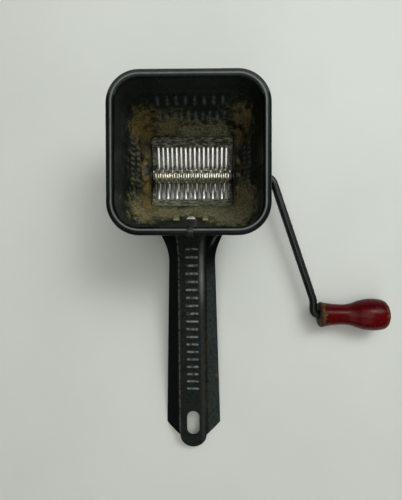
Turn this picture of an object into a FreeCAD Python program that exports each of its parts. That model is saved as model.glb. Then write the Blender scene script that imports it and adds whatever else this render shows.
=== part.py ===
import FreeCAD, Part
import math
import os

import Sketcher
from FreeCAD import Placement, Rotation, Vector

# Hand-cranked herb mill: a square funnel hopper on a channel handle, with a crank that turns a rotor of
# toothed discs in a slotted grate. Millimetres, +Z up. The origin is the middle of the spout's lower edge, on
# the surface that the mill stands on. +X runs along the shaft to the crank, and the handle points to -Y.

DIMENSIONS = {
    # hopper shell
    "rim_width": 64.0,
    "rim_corner": 13.0,
    "curl_diameter": 3.4,
    "curl_slit_angle": 140,
    "sheet": 0.8,
    "hopper_height": 52.5,
    "collar_height": 14.0,
    "shoulder_radius": 5.0,
    "spout_height": 12.3,
    "throat_width": 33.2,
    "throat_corner": 2.0,
    "cheek_radius": 10.8,
    # slotted grate
    "bar_pitch": 2.25,
    "bar_count": 16,
    "slot_width": 0.9,
    "slot_reach": 12.9,
    "end_strip": 1.55,
    "trough_floor": 3.3,
    "grate_sheet": 0.6,
    # shaft, discs and bearings
    "shaft_setback": 1.9,
    "shaft_height": 10.0,
    "rod_diameter": 3.8,
    "rod_flat": 0.5,
    "running_clearance": 0.05,
    "seat_clearance": 0.02,
    "end_play": 0.3,
    "spacer_diameter": 6.2,
    "hub_diameter": 7.0,
    "disc_thickness": 0.5,
    "tooth_radius": 7.5,
    "tooth_count": 3,
    "tooth_angle": 90,
    "tooth_hook": 16,
    "tooth_width": 22,
    "tooth_point": 4,
    "tooth_stagger": 7,
    "washer_thickness": 0.7,
    "eyelet_wall": 0.8,
    "eyelet_flange": 1.6,
    "eyelet_lip": 0.6,
    "cap_diameter": 8.0,
    "cap_length": 3.4,
    "cap_crown": 1.2,
    # crank and knob
    "crank_throw": 68.5,
    "crank_bend_x": 38.9,
    "crank_end_x": 59.8,
    "crank_slant": 18.8,
    "elbow_radius": 6.0,
    "easing_radius": 8.0,
    "pin_radius": 2.6,
    "knob_gap": 0.1,
    "knob_length": 34.4,
    "knob_base": 12.4,
    "knob_neck": 9.8,
    "knob_belly": 16.0,
    "knob_edge": 1.2,
    "knob_neck_x": 12.2,
    "knob_belly_x": 24.8,
    "knob_belly_curve": 17.0,
    "knob_nose": 3.4,
    "knob_face": 8.4,
    "knob_recess": 6.0,
    "knob_recess_depth": 2.2,
    "knob_lift": 0.1,
    "head_diameter": 5.0,
    "head_height": 0.8,
    # handle
    "handle_sheet": 1.0,
    "handle_depth": 6.0,
    "root_height": 27.0,
    "tip_reach": 138.7,
    "tip_height": 4.5,
    "shoulder_setback": 10.9,
    "root_half": 21.0,
    "root_flat_half": 8.0,
    "flare_length": 16.0,
    "flare_power": 1.4,
    "neck_half": 10.9,
    "neck_flat_half": 5.85,
    "end_half": 13.8,
    "end_flat_half": 6.6,
    "tip_radius": 6.7,
    "hang_slot_width": 6.2,
    "hang_slot_length": 13.2,
    "hang_slot_setback": 13.3,
    "tenon_offset": 6.4,
    "tenon_width": 2.6,
    "tenon_fold": 5.6,
    "fit_clearance": 0.1,
    "lay_clearance": 0.15,
    # strap over the rim
    "strap_width": 2.5,
    "strap_sheet": 0.5,
    "strap_foot": 28.0,
    "strap_tail": 1.2,
    "strap_shift": 0.5,
}

# Depth of a cut that goes right through, rough size of a sketch before its constraints, steps of the handle's
# flare, and the difference in millimetres under which two places count as one
TOOL_DEPTH = 200.0
GUESS = 10.0
FLARE_STEPS = 4
SAME_PLACE = 1e-4
FULL_TURN = 360

doc = FreeCAD.newDocument("herb_mill")
sheet = doc.addObject("Spreadsheet::Sheet", "dims")
for row, (alias, number) in enumerate(DIMENSIONS.items(), start=1):
    sheet.set(f"A{row}", alias)
    sheet.set(f"B{row}", str(number))
    sheet.setAlias(f"B{row}", alias)
doc.recompute()


def size(alias):
    """Number held by one cell of the sheet."""
    return float(sheet.get(alias))


# Sizes that follow from the driving ones, as expressions
THROAT_HALF_X = "((dims.bar_count * dims.bar_pitch + dims.slot_width) / 2 + dims.end_strip)"
THROAT_HALF_Y = "(dims.throat_width / 2)"
CURL_RADIUS = "(dims.curl_diameter / 2)"
CURL_HEIGHT = f"(dims.hopper_height - {CURL_RADIUS})"
COLLAR_HALF = "(dims.rim_width / 2 - dims.curl_diameter)"
COLLAR_CORNER = "(dims.rim_corner - dims.curl_diameter)"
COLLAR_FOOT = "(dims.hopper_height - dims.collar_height)"
WALL_RISE = f"({COLLAR_FOOT} - dims.spout_height)"
WALL_RUN = f"({COLLAR_HALF} - {THROAT_HALF_Y})"
WALL_SLOPE = f"({WALL_RUN} / {WALL_RISE})"
WALL_TILT = f"atan({WALL_SLOPE})"
WALL_NORMAL_SHEET = f"(dims.sheet * cos({WALL_TILT}))"
ROD_RADIUS = "(dims.rod_diameter / 2)"
CRANK_DROP = "asin((dims.shaft_height - dims.knob_belly / 2 - dims.knob_lift) / dims.crank_throw)"
KNOB_X = "(dims.crank_end_x + dims.pin_radius + dims.knob_gap)"
KNOB_Y = f"(-dims.shaft_setback - dims.crank_throw * cos({CRANK_DROP}))"
KNOB_Z = "(dims.knob_belly / 2 + dims.knob_lift)"
PIN_END = (f"({KNOB_X} + dims.knob_length - dims.knob_recess_depth + dims.washer_thickness"
           " + dims.end_play)")
CAP_SEAT = f"({THROAT_HALF_X} + dims.sheet + dims.eyelet_lip + dims.end_play)"
STACK_HALF = "(dims.bar_count * dims.bar_pitch / 2 + dims.disc_thickness / 2)"
ROOT_REACH = f"({THROAT_HALF_Y} + dims.sheet + (dims.root_height - dims.spout_height) * {WALL_SLOPE})"
SHOULDER_REACH = "(dims.tip_reach - dims.shoulder_setback)"
HANG_SLOT_REACH = "(dims.tip_reach - dims.hang_slot_setback)"
SHOULDER_LIFT = f"({COLLAR_FOOT} + dims.shoulder_radius * tan({WALL_TILT} / 2))"
HANDLE_SLOPE = f"((dims.root_height - dims.tip_height) / (dims.tip_reach - {ROOT_REACH}))"


def handle_top(reach):
    """Height of the handle's flat top at a distance from the hopper's middle."""
    return f"(dims.root_height - ({reach} - {ROOT_REACH}) * {HANDLE_SLOPE})"


def new_body(label):
    """Empty body whose label names its file."""
    body = doc.addObject("PartDesign::Body", label)
    body.Label = label
    return body


def add_sketch(body, name, role="XY_Plane", lift="0", along="0", tilt=None):
    """Sketch on an origin plane of its body, moved along its normal and its second axis, and tilted."""
    sketch = body.newObject("Sketcher::SketchObject", f"{body.Name}_{name}")
    plane = next(feature for feature in body.Origin.OriginFeatures if feature.Role == role)
    sketch.AttachmentSupport = [(plane, "")]
    sketch.MapMode = "FlatFace"
    if tilt:
        sketch.AttachmentOffset = Placement(Vector(), Rotation(Vector(1, 0, 0), GUESS))
        sketch.setExpression(".AttachmentOffset.Rotation.Angle", tilt)
    sketch.setExpression(".AttachmentOffset.Base.z", lift)
    sketch.setExpression(".AttachmentOffset.Base.y", along)
    return sketch


def bind(sketch, kind, arguments, now, expression):
    """Constraint that starts at the present measure and then follows an expression."""
    index = sketch.addConstraint(Sketcher.Constraint(kind, *arguments, now))
    sketch.setExpression(f"Constraints[{index}]", expression)


def pin_point(sketch, geometry, position, x, y):
    """Hold a point of the sketch at two expressions; an expression of None leaves that direction free."""
    point = sketch.getPoint(geometry, position)
    for kind, now, expression in (("DistanceX", point.x, x), ("DistanceY", point.y, y)):
        if expression is not None:
            bind(sketch, kind, (-1, 1, geometry, position), now, expression)


def set_radius(sketch, edge, expression):
    """Hold the radius of a circle or an arc."""
    bind(sketch, "Radius", (edge,), sketch.Geometry[edge].Radius, expression)


def set_angle(sketch, edge, expression):
    """Hold the direction of a straight edge, in degrees from the sketch's first axis."""
    run = sketch.Geometry[edge].EndPoint.sub(sketch.Geometry[edge].StartPoint)
    bind(sketch, "Angle", (edge,), math.atan2(run.y, run.x), expression)


def join(sketch, first, second, smooth=False):
    """Join the end of one edge to the start of the next, tangent where smooth."""
    kind = "Tangent" if smooth else "Coincident"
    sketch.addConstraint(Sketcher.Constraint(kind, first, 2, second, 1))


def line(sketch, start, end):
    """Straight edge between two rough points."""
    return sketch.addGeometry(Part.LineSegment(Vector(*start, 0), Vector(*end, 0)))


def polygon(sketch, corners):
    """Closed outline of straight edges; each corner is a pair of expressions."""
    count = len(corners)
    turns = [Rotation(Vector(0, 0, 1), FULL_TURN * index / count) for index in range(count)]
    ring = [turn.multVec(Vector(GUESS, 0, 0)) for turn in turns]
    first = sketch.GeometryCount
    for index in range(count):
        start, end = ring[index], ring[(index + 1) % count]
        line(sketch, (start.x, start.y), (end.x, end.y))
    for index, (x, y) in enumerate(corners):
        join(sketch, first + index, first + (index + 1) % count)
        pin_point(sketch, first + index, 1, x, y)


def circle(sketch, radius, x="0", y="0"):
    """Circle about a point given by expressions."""
    edge = sketch.addGeometry(Part.Circle(Vector(), Vector(0, 0, 1), GUESS))
    set_radius(sketch, edge, radius)
    pin_point(sketch, edge, 3, x, y)


def arc(sketch, centre, start, end):
    """Arc about a rough centre, from one rough point counter-clockwise to another."""
    first, last = (math.atan2(point[1] - centre[1], point[0] - centre[0]) for point in (start, end))
    if last <= first:
        last += 2 * math.pi
    ring = Part.Circle(Vector(*centre, 0), Vector(0, 0, 1), math.dist(centre, start))
    return sketch.addGeometry(Part.ArcOfCircle(ring, first, last))


def rounded_rectangle(sketch, half_x, half_y, corner):
    """Rectangle about the origin with equal round corners, counter-clockwise from the right side."""
    side = 2 * GUESS
    flat = side - GUESS / 2
    edges = []
    ends = (((side, -flat), (side, flat)), ((flat, side), (-flat, side)),
            ((-side, flat), (-side, -flat)), ((-flat, -side), (flat, -side)))
    centres = ((flat, flat), (-flat, flat), (-flat, -flat), (flat, -flat))
    for index in range(len(ends)):
        edges.append(line(sketch, *ends[index]))
        edges.append(arc(sketch, centres[index], ends[index][1], ends[(index + 1) % len(ends)][0]))
    for index, edge in enumerate(edges):
        join(sketch, edge, edges[(index + 1) % len(edges)], smooth=True)
    right, top, left, bottom = edges[0::2]
    for edge in (right, left):
        sketch.addConstraint(Sketcher.Constraint("Vertical", edge))
    for edge in (top, bottom):
        sketch.addConstraint(Sketcher.Constraint("Horizontal", edge))
    for edge in edges[3::2]:
        sketch.addConstraint(Sketcher.Constraint("Equal", edges[1], edge))
    set_radius(sketch, edges[1], corner)
    pin_point(sketch, right, 1, half_x, None)
    pin_point(sketch, left, 1, f"-({half_x})", None)
    pin_point(sketch, top, 1, None, half_y)
    pin_point(sketch, bottom, 1, None, f"-({half_y})")


def pad(body, sketch, length, reverse=False):
    """Straight extrusion of a sketch."""
    feature = body.newObject("PartDesign::Pad", f"{sketch.Name}_pad")
    feature.Profile = sketch
    feature.Reversed = reverse
    feature.setExpression("Length", length)
    return feature


def pocket(body, sketch, depth=None, reverse=False):
    """Straight cut of a sketch, against its normal unless reversed, right through where no depth is given."""
    feature = body.newObject("PartDesign::Pocket", f"{sketch.Name}_pocket")
    feature.Profile = sketch
    feature.Reversed = reverse
    if depth is None:
        feature.Length = TOOL_DEPTH
    else:
        feature.setExpression("Length", depth)
    return feature


def loft(body, sketches, ruled=True):
    """Solid through sketches in order."""
    feature = body.newObject("PartDesign::AdditiveLoft", f"{sketches[0].Name}_loft")
    feature.Profile = sketches[0]
    feature.Sections = list(sketches[1:])
    feature.Ruled = ruled
    return feature


def sweep(body, profile, path):
    """Solid that a profile leaves along a path."""
    doc.recompute()
    feature = body.newObject("PartDesign::AdditivePipe", f"{profile.Name}_sweep")
    feature.Profile = profile
    feature.Spine = (path, [f"Edge{index + 1}" for index in range(len(path.Shape.Edges))])
    return feature


def place(item, x="0", y="0", z="0", turn=None):
    """Bind an object's place, and its turn about the X axis, to expressions."""
    if turn:
        item.Placement = Placement(Vector(), Rotation(Vector(1, 0, 0), GUESS))
        item.setExpression("Placement.Rotation.Angle", turn)
    for axis, expression in (("x", x), ("y", y), ("z", z)):
        item.setExpression(f"Placement.Base.{axis}", expression)


def cylinder_x(name, radius, length, x, y="-dims.shaft_setback", z="dims.shaft_height"):
    """Plain cylinder along +X from a point, on the shaft axis unless told otherwise."""
    item = doc.addObject("Part::Cylinder", name)
    item.Placement = Placement(Vector(), Rotation(Vector(0, 1, 0), 90))
    item.setExpression("Radius", radius)
    item.setExpression("Height", length)
    for axis, expression in (("x", x), ("y", y), ("z", z)):
        item.setExpression(f"Placement.Base.{axis}", expression)
    return item


def cut(name, base, tool):
    """Base less tool."""
    item = doc.addObject("Part::Cut", name)
    item.Label = name
    item.Base, item.Tool = base, tool
    return item


def fuse(name, base, tool):
    """Base and tool as one."""
    item = doc.addObject("Part::Fuse", name)
    item.Label = name
    item.Base, item.Tool = base, tool
    return item


def ring_x(name, outer, inner, length, x, **centre):
    """Washer or collar along +X."""
    body = cylinder_x(f"{name}_body", outer, length, x, **centre)
    hole = cylinder_x(f"{name}_hole", inner, length, x, **centre)
    return cut(name, body, hole)


def shell_form(label, grow, foot, top):
    """Solid of the hopper's spout, funnel and collar, grown outwards by a wall, between two heights."""
    body = new_body(label)
    throat = (f"{THROAT_HALF_X} + {grow}", f"{THROAT_HALF_Y} + {grow}", f"dims.throat_corner + {grow}")
    collar = (f"{COLLAR_HALF} + {grow}", f"{COLLAR_HALF} + {grow}", f"{COLLAR_CORNER} + {grow}")
    spout = add_sketch(body, "spout", lift=foot)
    rounded_rectangle(spout, *throat)
    pad(body, spout, f"dims.spout_height - ({foot})")
    lower = add_sketch(body, "funnel_lower", lift="dims.spout_height")
    rounded_rectangle(lower, *throat)
    upper = add_sketch(body, "funnel_upper", lift=COLLAR_FOOT)
    rounded_rectangle(upper, *collar)
    loft(body, [lower, upper])
    mouth = add_sketch(body, "mouth", lift=COLLAR_FOOT)
    rounded_rectangle(mouth, *collar)
    collar_pad = pad(body, mouth, f"{top} - {COLLAR_FOOT}")
    doc.recompute()
    shoulder_height = size("hopper_height") - size("collar_height")
    shoulder = [f"Edge{index + 1}" for index, edge in enumerate(collar_pad.Shape.Edges)
                if all(abs(vertex.Z - shoulder_height) < SAME_PLACE for vertex in edge.Vertexes)]
    fillet = body.newObject("PartDesign::Fillet", f"{label}_shoulder")
    fillet.Base = (collar_pad, shoulder)
    fillet.setExpression("Radius", f"dims.shoulder_radius + {grow}")
    return body


def rim_curl():
    """Edge of the sheet, rolled outwards and down until it nearly meets the collar again."""
    body = new_body("rim_curl")
    path = add_sketch(body, "path", lift=CURL_HEIGHT)
    middle = f"(dims.rim_width / 2 - {CURL_RADIUS})"
    rounded_rectangle(path, middle, middle, f"dims.rim_corner - {CURL_RADIUS}")
    roll = add_sketch(body, "roll", role="XZ_Plane")
    reach = size("rim_width") / 2 - size("curl_diameter") / 2
    height = size("hopper_height") - size("curl_diameter") / 2
    slit = Rotation(Vector(0, 0, 1), -size("curl_slit_angle")).multVec(Vector(1, 0, 0))
    starts, stops = [], []
    for radius in (size("curl_diameter") / 2, size("curl_diameter") / 2 - size("sheet")):
        starts.append((reach + radius * slit.x, height + radius * slit.y))
        stops.append((reach - radius, height))
    outer, inner = (arc(roll, (reach, height), *ends) for ends in zip(starts, stops))
    tail = line(roll, starts[1], starts[0])
    root = line(roll, stops[0], stops[1])
    for first, second in (((inner, 1), (tail, 1)), ((tail, 2), (outer, 1)),
                          ((outer, 2), (root, 1)), ((root, 2), (inner, 2))):
        roll.addConstraint(Sketcher.Constraint("Coincident", *first, *second))
    roll.addConstraint(Sketcher.Constraint("Coincident", outer, 3, inner, 3))
    roll.addConstraint(Sketcher.Constraint("Horizontal", root))
    roll.addConstraint(Sketcher.Constraint("PointOnObject", outer, 3, root))
    set_radius(roll, outer, CURL_RADIUS)
    set_radius(roll, inner, f"{CURL_RADIUS} - dims.sheet")
    pin_point(roll, outer, 3, middle, CURL_HEIGHT)
    set_angle(roll, tail, "-dims.curl_slit_angle")
    sweep(body, roll, path)
    return body


def wall_box(name, width, height, depth, x, up, into):
    """Box square to the near wall: its near lower left corner is given from the handle's root on the wall."""
    box = doc.addObject("Part::Box", name)
    box.setExpression("Length", width)
    box.setExpression("Height", height)
    box.setExpression("Width", depth)
    tilt = WALL_TILT
    place(box, x, f"-{ROOT_REACH} - ({up}) * sin({tilt}) + ({into}) * cos({tilt})",
          f"dims.root_height + ({up}) * cos({tilt}) + ({into}) * sin({tilt})", turn=tilt)
    return box


def hopper():
    """Pressed sheet hopper with flat bearing cheeks, eyelet holes and two slots for the handle's tenons."""
    form = shell_form("hopper_form", "dims.sheet", "0", CURL_HEIGHT)
    cavity = shell_form("hopper_cavity", "0", "-dims.sheet", f"({CURL_HEIGHT} + dims.sheet)")
    reach = f"({COLLAR_HALF} - {THROAT_HALF_X} + dims.sheet)"
    hole_radius = f"({ROD_RADIUS} + dims.running_clearance + dims.eyelet_wall + dims.seat_clearance)"
    for side, x in (("left", f"-{THROAT_HALF_X} - {reach}"), ("right", THROAT_HALF_X)):
        cheek = cylinder_x(f"cheek_{side}", "dims.cheek_radius", reach, x)
        cavity = cut(f"cavity_{side}", cavity, cheek)
    shell = cut("hopper_shell", form, cavity)
    outside = f"({THROAT_HALF_X} + dims.sheet)"
    for side, x in (("left", f"-{outside} - {reach}"), ("right", outside)):
        recess = cylinder_x(f"recess_{side}", "dims.cheek_radius - dims.sheet", reach, x)
        shell = cut(f"shell_{side}", shell, recess)
    width = f"(2 * ({THROAT_HALF_X} + 2 * dims.sheet))"
    bore = cylinder_x("eyelet_bore", hole_radius, width, f"-{width} / 2")
    shell = cut("shell_bored", shell, bore)
    slot_width = "(dims.tenon_width + 2 * dims.fit_clearance)"
    for side, sign in (("left", "-"), ("right", "")):
        slot = wall_box(f"tenon_slot_{side}", slot_width, "dims.handle_sheet + 2 * dims.fit_clearance",
                        "4 * dims.sheet", f"{sign}dims.tenon_offset - {slot_width} / 2",
                        "-dims.handle_sheet - dims.fit_clearance", "-dims.sheet")
        shell = cut(f"shell_slot_{side}", shell, slot)
    return fuse("hopper", shell, rim_curl())


def tray_section(sketch, first, last):
    """Strip of the tray's round section between two places, each an expression and its present number."""
    drop = "(dims.spout_height - dims.trough_floor)"
    radius = f"(({THROAT_HALF_Y}^2 + {drop}^2) / (2 * {drop}))"
    half, depth = size("throat_width") / 2, size("spout_height") - size("trough_floor")
    reach = (half ** 2 + depth ** 2) / (2 * depth)
    middle = size("trough_floor") + reach
    faces = []
    for rough in (reach, reach + size("grate_sheet")):
        ends = [(place, middle - (rough ** 2 - place ** 2) ** 0.5) for place in (first[1], last[1])]
        faces.append((arc(sketch, (0, middle), *ends), ends))
    (upper, upper_ends), (lower, lower_ends) = faces
    set_radius(sketch, upper, radius)
    set_radius(sketch, lower, f"{radius} + dims.grate_sheet")
    pin_point(sketch, upper, 3, "0", f"dims.trough_floor + {radius}")
    sketch.addConstraint(Sketcher.Constraint("Coincident", upper, 3, lower, 3))
    for index, (expression, _) in enumerate((first, last)):
        side = line(sketch, upper_ends[index], lower_ends[index])
        sketch.addConstraint(Sketcher.Constraint("Coincident", upper, index + 1, side, 1))
        sketch.addConstraint(Sketcher.Constraint("Coincident", lower, index + 1, side, 2))
        sketch.addConstraint(Sketcher.Constraint("Vertical", side))
        pin_point(sketch, side, 1, expression, None)


def slotted_grate():
    """Curved tray in the spout: a band along each side, a strip at each end and bars between slots."""
    body = new_body("slotted_grate")
    half, reach = size("throat_width") / 2, size("slot_reach")
    near = ((f"-{THROAT_HALF_Y}", -half), ("-dims.slot_reach", -reach))
    far = (("dims.slot_reach", reach), (THROAT_HALF_Y, half))
    across = (near[1], far[0])
    left_end, whole = f"-{THROAT_HALF_X}", f"2 * {THROAT_HALF_X}"
    strips = (("near_band", near, left_end, whole),
              ("left_strip", across, left_end, "dims.end_strip"),
              ("far_band", far, left_end, whole),
              ("right_strip", across, f"{THROAT_HALF_X} - dims.end_strip", "dims.end_strip"),
              ("bar", across, "(dims.slot_width - dims.bar_count * dims.bar_pitch) / 2",
               "dims.bar_pitch - dims.slot_width"))
    for name, places, x, length in strips:
        section = add_sketch(body, name, role="YZ_Plane", lift=x)
        tray_section(section, *places)
        strip = pad(body, section, length)
        strip.Refine = False
    doc.recompute()
    row = body.newObject("PartDesign::LinearPattern", "grate_bars")
    row.Originals = [strip]
    row.Direction = (section, ["N_Axis"])
    row.setExpression("Length", "(dims.bar_count - 1) * dims.bar_pitch")
    row.setExpression("Occurrences", "dims.bar_count")
    row.Refine = False
    body.Tip = row
    corners = add_sketch(body, "corners", lift="dims.spout_height")
    beyond_x, beyond_y = f"({THROAT_HALF_X} + dims.throat_corner)", f"({THROAT_HALF_Y} + dims.throat_corner)"
    within_x, within_y = f"({beyond_x} - 3 * dims.throat_corner)", f"({beyond_y} - 3 * dims.throat_corner)"
    for side_x, side_y in (("", ""), ("-", ""), ("-", "-"), ("", "-")):
        polygon(corners, [(f"{side_x}{beyond_x}", f"{side_y}{beyond_y}"),
                          (f"{side_x}{within_x}", f"{side_y}{beyond_y}"),
                          (f"{side_x}{beyond_x}", f"{side_y}{within_y}")])
    trim = pocket(body, corners, "dims.spout_height")
    trim.Refine = False
    return body


def hat_section(sketch, half, flat_half, depth, top="0"):
    """Channel section, open below: a flat top between two flanks that spread downwards."""
    thick = "dims.handle_sheet"
    spread = f"({half} - {flat_half})"
    flank = f"sqrt({spread}^2 + {depth}^2)"
    inner_half = f"({half} - {thick} * {flank} / {depth})"
    inner_flat = f"({flat_half} - {thick} * ({flank} - {spread}) / {depth})"
    right = [(flat_half, top), (half, f"{top} - {depth}"), (inner_half, f"{top} - {depth}"),
             (inner_flat, f"{top} - {thick}")]
    left = [(f"-{x}", y) for x, y in reversed(right)]
    polygon(sketch, right + left)


def handle():
    """Pressed channel handle that flares onto the near wall, with a hanging slot and two folded tenons."""
    body = new_body("handle")
    flare = []
    for step in range(FLARE_STEPS + 1):
        share = step / FLARE_STEPS
        widen = f"{1 - share}^dims.flare_power"
        half = f"(dims.neck_half + (dims.root_half - dims.neck_half) * {widen})"
        flat_half = f"(dims.neck_flat_half + (dims.root_flat_half - dims.neck_flat_half) * {widen})"
        if step == 0:
            station = add_sketch(body, "root", "XZ_Plane", ROOT_REACH, "dims.root_height", tilt=WALL_TILT)
            hat_section(station, half, flat_half, "dims.handle_depth")
        else:
            reach = f"({ROOT_REACH} + dims.flare_length * {share})"
            station = add_sketch(body, f"flare_{step}", "XZ_Plane", reach)
            hat_section(station, half, flat_half, "dims.handle_depth", handle_top(reach))
        flare.append(station)
    loft(body, flare, ruled=False)
    neck_reach = f"({ROOT_REACH} + dims.flare_length)"
    end_depth = handle_top(SHOULDER_REACH)
    overrun = "(dims.tip_reach + dims.tip_radius)"
    stations = (("neck", neck_reach, "dims.neck_half", "dims.neck_flat_half", "dims.handle_depth"),
                ("shoulder", SHOULDER_REACH, "dims.end_half", "dims.end_flat_half", end_depth),
                ("overrun", overrun, "dims.end_half", "dims.end_flat_half", handle_top(overrun)))
    for first, second in zip(stations, stations[1:]):
        pair = []
        for label, reach, half, flat_half, depth in (first, second):
            station = add_sketch(body, f"{first[0]}_{label}", "XZ_Plane", reach)
            hat_section(station, half, flat_half, depth, handle_top(reach))
            pair.append(station)
        loft(body, pair)
    tip_outline(body)
    hanging_slot(body)
    tenons(body)
    return body


def tip_outline(body):
    """Cut the handle's end to two slanting shoulders and a round tip."""
    trim = add_sketch(body, "tip_trim", lift="dims.hopper_height")
    centre_y = "(-dims.tip_reach + dims.tip_radius)"
    beyond = "(-dims.tip_reach - 2 * dims.tip_radius)"
    outside = "(dims.end_half + dims.tip_radius)"
    middle = -size("tip_reach") + size("tip_radius")
    radius, wide = size("tip_radius"), size("end_half") + size("tip_radius")
    shoulder, far = size("shoulder_setback") - size("tip_reach"), -size("tip_reach") - 2 * size("tip_radius")
    nose = arc(trim, (0, middle), (-radius, middle), (radius, middle))
    chain = ((radius, middle), (size("end_half"), shoulder), (wide, shoulder), (wide, far),
             (-wide, far), (-wide, shoulder), (-size("end_half"), shoulder), (-radius, middle))
    edges = [line(trim, *ends) for ends in zip(chain, chain[1:])]
    for edge, following in zip(edges, edges[1:]):
        join(trim, edge, following)
    trim.addConstraint(Sketcher.Constraint("Coincident", nose, 2, edges[0], 1))
    trim.addConstraint(Sketcher.Constraint("Coincident", nose, 1, edges[-1], 2))
    pin_point(trim, nose, 3, "0", centre_y)
    pin_point(trim, nose, 2, "dims.tip_radius", centre_y)
    pin_point(trim, nose, 1, None, centre_y)
    slant = f"-{SHOULDER_REACH}"
    corners = (("dims.end_half", slant), (outside, slant), (outside, beyond),
               (f"-{outside}", beyond), (f"-{outside}", slant), ("-dims.end_half", slant))
    for edge, corner in zip(edges[1:], corners):
        pin_point(trim, edge, 1, *corner)
    pocket(body, trim)


def hanging_slot(body):
    """Long hole with round ends through the flat of the handle."""
    slot = add_sketch(body, "hang_slot", lift="dims.hopper_height")
    radius, middle = size("hang_slot_width") / 2, size("hang_slot_setback") - size("tip_reach")
    half = size("hang_slot_length") / 2 - radius
    low, high = middle - half, middle + half
    far = arc(slot, (0, low), (-radius, low), (radius, low))
    right = line(slot, (radius, low), (radius, high))
    near = arc(slot, (0, high), (radius, high), (-radius, high))
    left = line(slot, (-radius, high), (-radius, low))
    ring = (far, right, near, left)
    for edge, following in zip(ring, ring[1:] + ring[:1]):
        join(slot, edge, following, smooth=True)
    slot.addConstraint(Sketcher.Constraint("Vertical", right))
    reach = "(dims.hang_slot_length - dims.hang_slot_width) / 2"
    pin_point(slot, far, 3, "0", f"-{HANG_SLOT_REACH} - {reach}")
    pin_point(slot, near, 3, None, f"-{HANG_SLOT_REACH} + {reach}")
    set_radius(slot, far, "dims.hang_slot_width / 2")
    pocket(body, slot)


def tenons(body):
    """Two tongues of the handle's flat that pass through the wall and are folded up against its inside."""
    gap = "dims.lay_clearance"
    foot = "-dims.handle_sheet"
    top = "(dims.tenon_fold - dims.handle_sheet)"
    through = f"({WALL_NORMAL_SHEET} + {gap} + dims.handle_sheet)"
    fold_lift = f"{ROOT_REACH} - ({WALL_NORMAL_SHEET} + {gap}) * cos({WALL_TILT})"
    fold_rise = f"dims.root_height + ({WALL_NORMAL_SHEET} + {gap}) * sin({WALL_TILT})"
    for side, sign in (("left", "-"), ("right", "")):
        inner = f"({sign}dims.tenon_offset - dims.tenon_width / 2)"
        outer = f"({sign}dims.tenon_offset + dims.tenon_width / 2)"
        shank = add_sketch(body, f"tenon_{side}", "XZ_Plane", ROOT_REACH, "dims.root_height", tilt=WALL_TILT)
        polygon(shank, [(inner, foot), (outer, foot), (outer, "0"), (inner, "0")])
        pad(body, shank, through, reverse=True)
        fold = add_sketch(body, f"fold_{side}", "XZ_Plane", fold_lift, fold_rise, tilt=WALL_TILT)
        polygon(fold, [(inner, foot), (outer, foot), (outer, top), (inner, top)])
        pad(body, fold, "dims.handle_sheet", reverse=True)


def rim_strap():
    """Narrow strip that lies on the inside of the near wall and hooks over the rolled rim."""
    body = new_body("rim_strap")
    side = add_sketch(body, "side", role="YZ_Plane", lift="dims.strap_shift - dims.strap_width / 2")
    middle = f"(dims.rim_width / 2 - {CURL_RADIUS})"
    foot = f"({THROAT_HALF_Y} + (dims.strap_foot - dims.spout_height) * {WALL_SLOPE})"
    crown_y = -(size("rim_width") - size("curl_diameter")) / 2
    crown_z = size("hopper_height") - size("curl_diameter") / 2
    kink_y = crown_y + size("curl_diameter") / 2 + size("shoulder_radius")
    kink_z = size("hopper_height") - size("collar_height")
    lay = size("lay_clearance")
    gaps = (("dims.lay_clearance", lay),
            ("(dims.lay_clearance + dims.strap_sheet)", lay + size("strap_sheet")))
    faces = []
    for gap, rough in gaps:
        radius = size("curl_diameter") / 2 + rough
        left, right = crown_y - radius, crown_y + radius
        hook = line(side, (left, crown_z - size("strap_tail")), (left, crown_z))
        crown = arc(side, (crown_y, crown_z), (right, crown_z), (left, crown_z))
        bent = (right + rough, kink_z - size("shoulder_radius") / 2)
        collar = line(side, (right, crown_z), (right, kink_z))
        kink = arc(side, (kink_y, kink_z), (right, kink_z), bent)
        slope = line(side, bent, (right + GUESS, size("strap_foot")))
        for first, second in (((hook, 2), (crown, 2)), ((crown, 1), (collar, 1)),
                              ((collar, 2), (kink, 1)), ((kink, 2), (slope, 1))):
            side.addConstraint(Sketcher.Constraint("Coincident", *first, *second))
        side.addConstraint(Sketcher.Constraint("Vertical", hook))
        pin_point(side, crown, 3, f"-{middle}", CURL_HEIGHT)
        set_radius(side, crown, f"{CURL_RADIUS} + {gap}")
        for end in (1, 2):
            pin_point(side, crown, end, None, CURL_HEIGHT)
        bend = f"(dims.shoulder_radius - {gap})"
        pin_point(side, kink, 3, f"-({COLLAR_HALF} - dims.shoulder_radius)", SHOULDER_LIFT)
        set_radius(side, kink, bend)
        pin_point(side, kink, 1, None, SHOULDER_LIFT)
        pin_point(side, kink, 2, None, f"{SHOULDER_LIFT} - {bend} * sin({WALL_TILT})")
        pin_point(side, hook, 1, None, f"{CURL_HEIGHT} - dims.strap_tail")
        pin_point(side, slope, 2, f"-({foot} - {gap} / cos({WALL_TILT}))", "dims.strap_foot")
        faces.append((hook, slope))
    (near_hook, near_slope), (far_hook, far_slope) = faces
    for first, second in (((near_hook, 1), (far_hook, 1)), ((near_slope, 2), (far_slope, 2))):
        rough = [side.getPoint(*end) for end in (first, second)]
        closing = line(side, *[(point.x, point.y) for point in rough])
        side.addConstraint(Sketcher.Constraint("Coincident", *first, closing, 1))
        side.addConstraint(Sketcher.Constraint("Coincident", *second, closing, 2))
    pad(body, side, "dims.strap_width")
    return body


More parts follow.
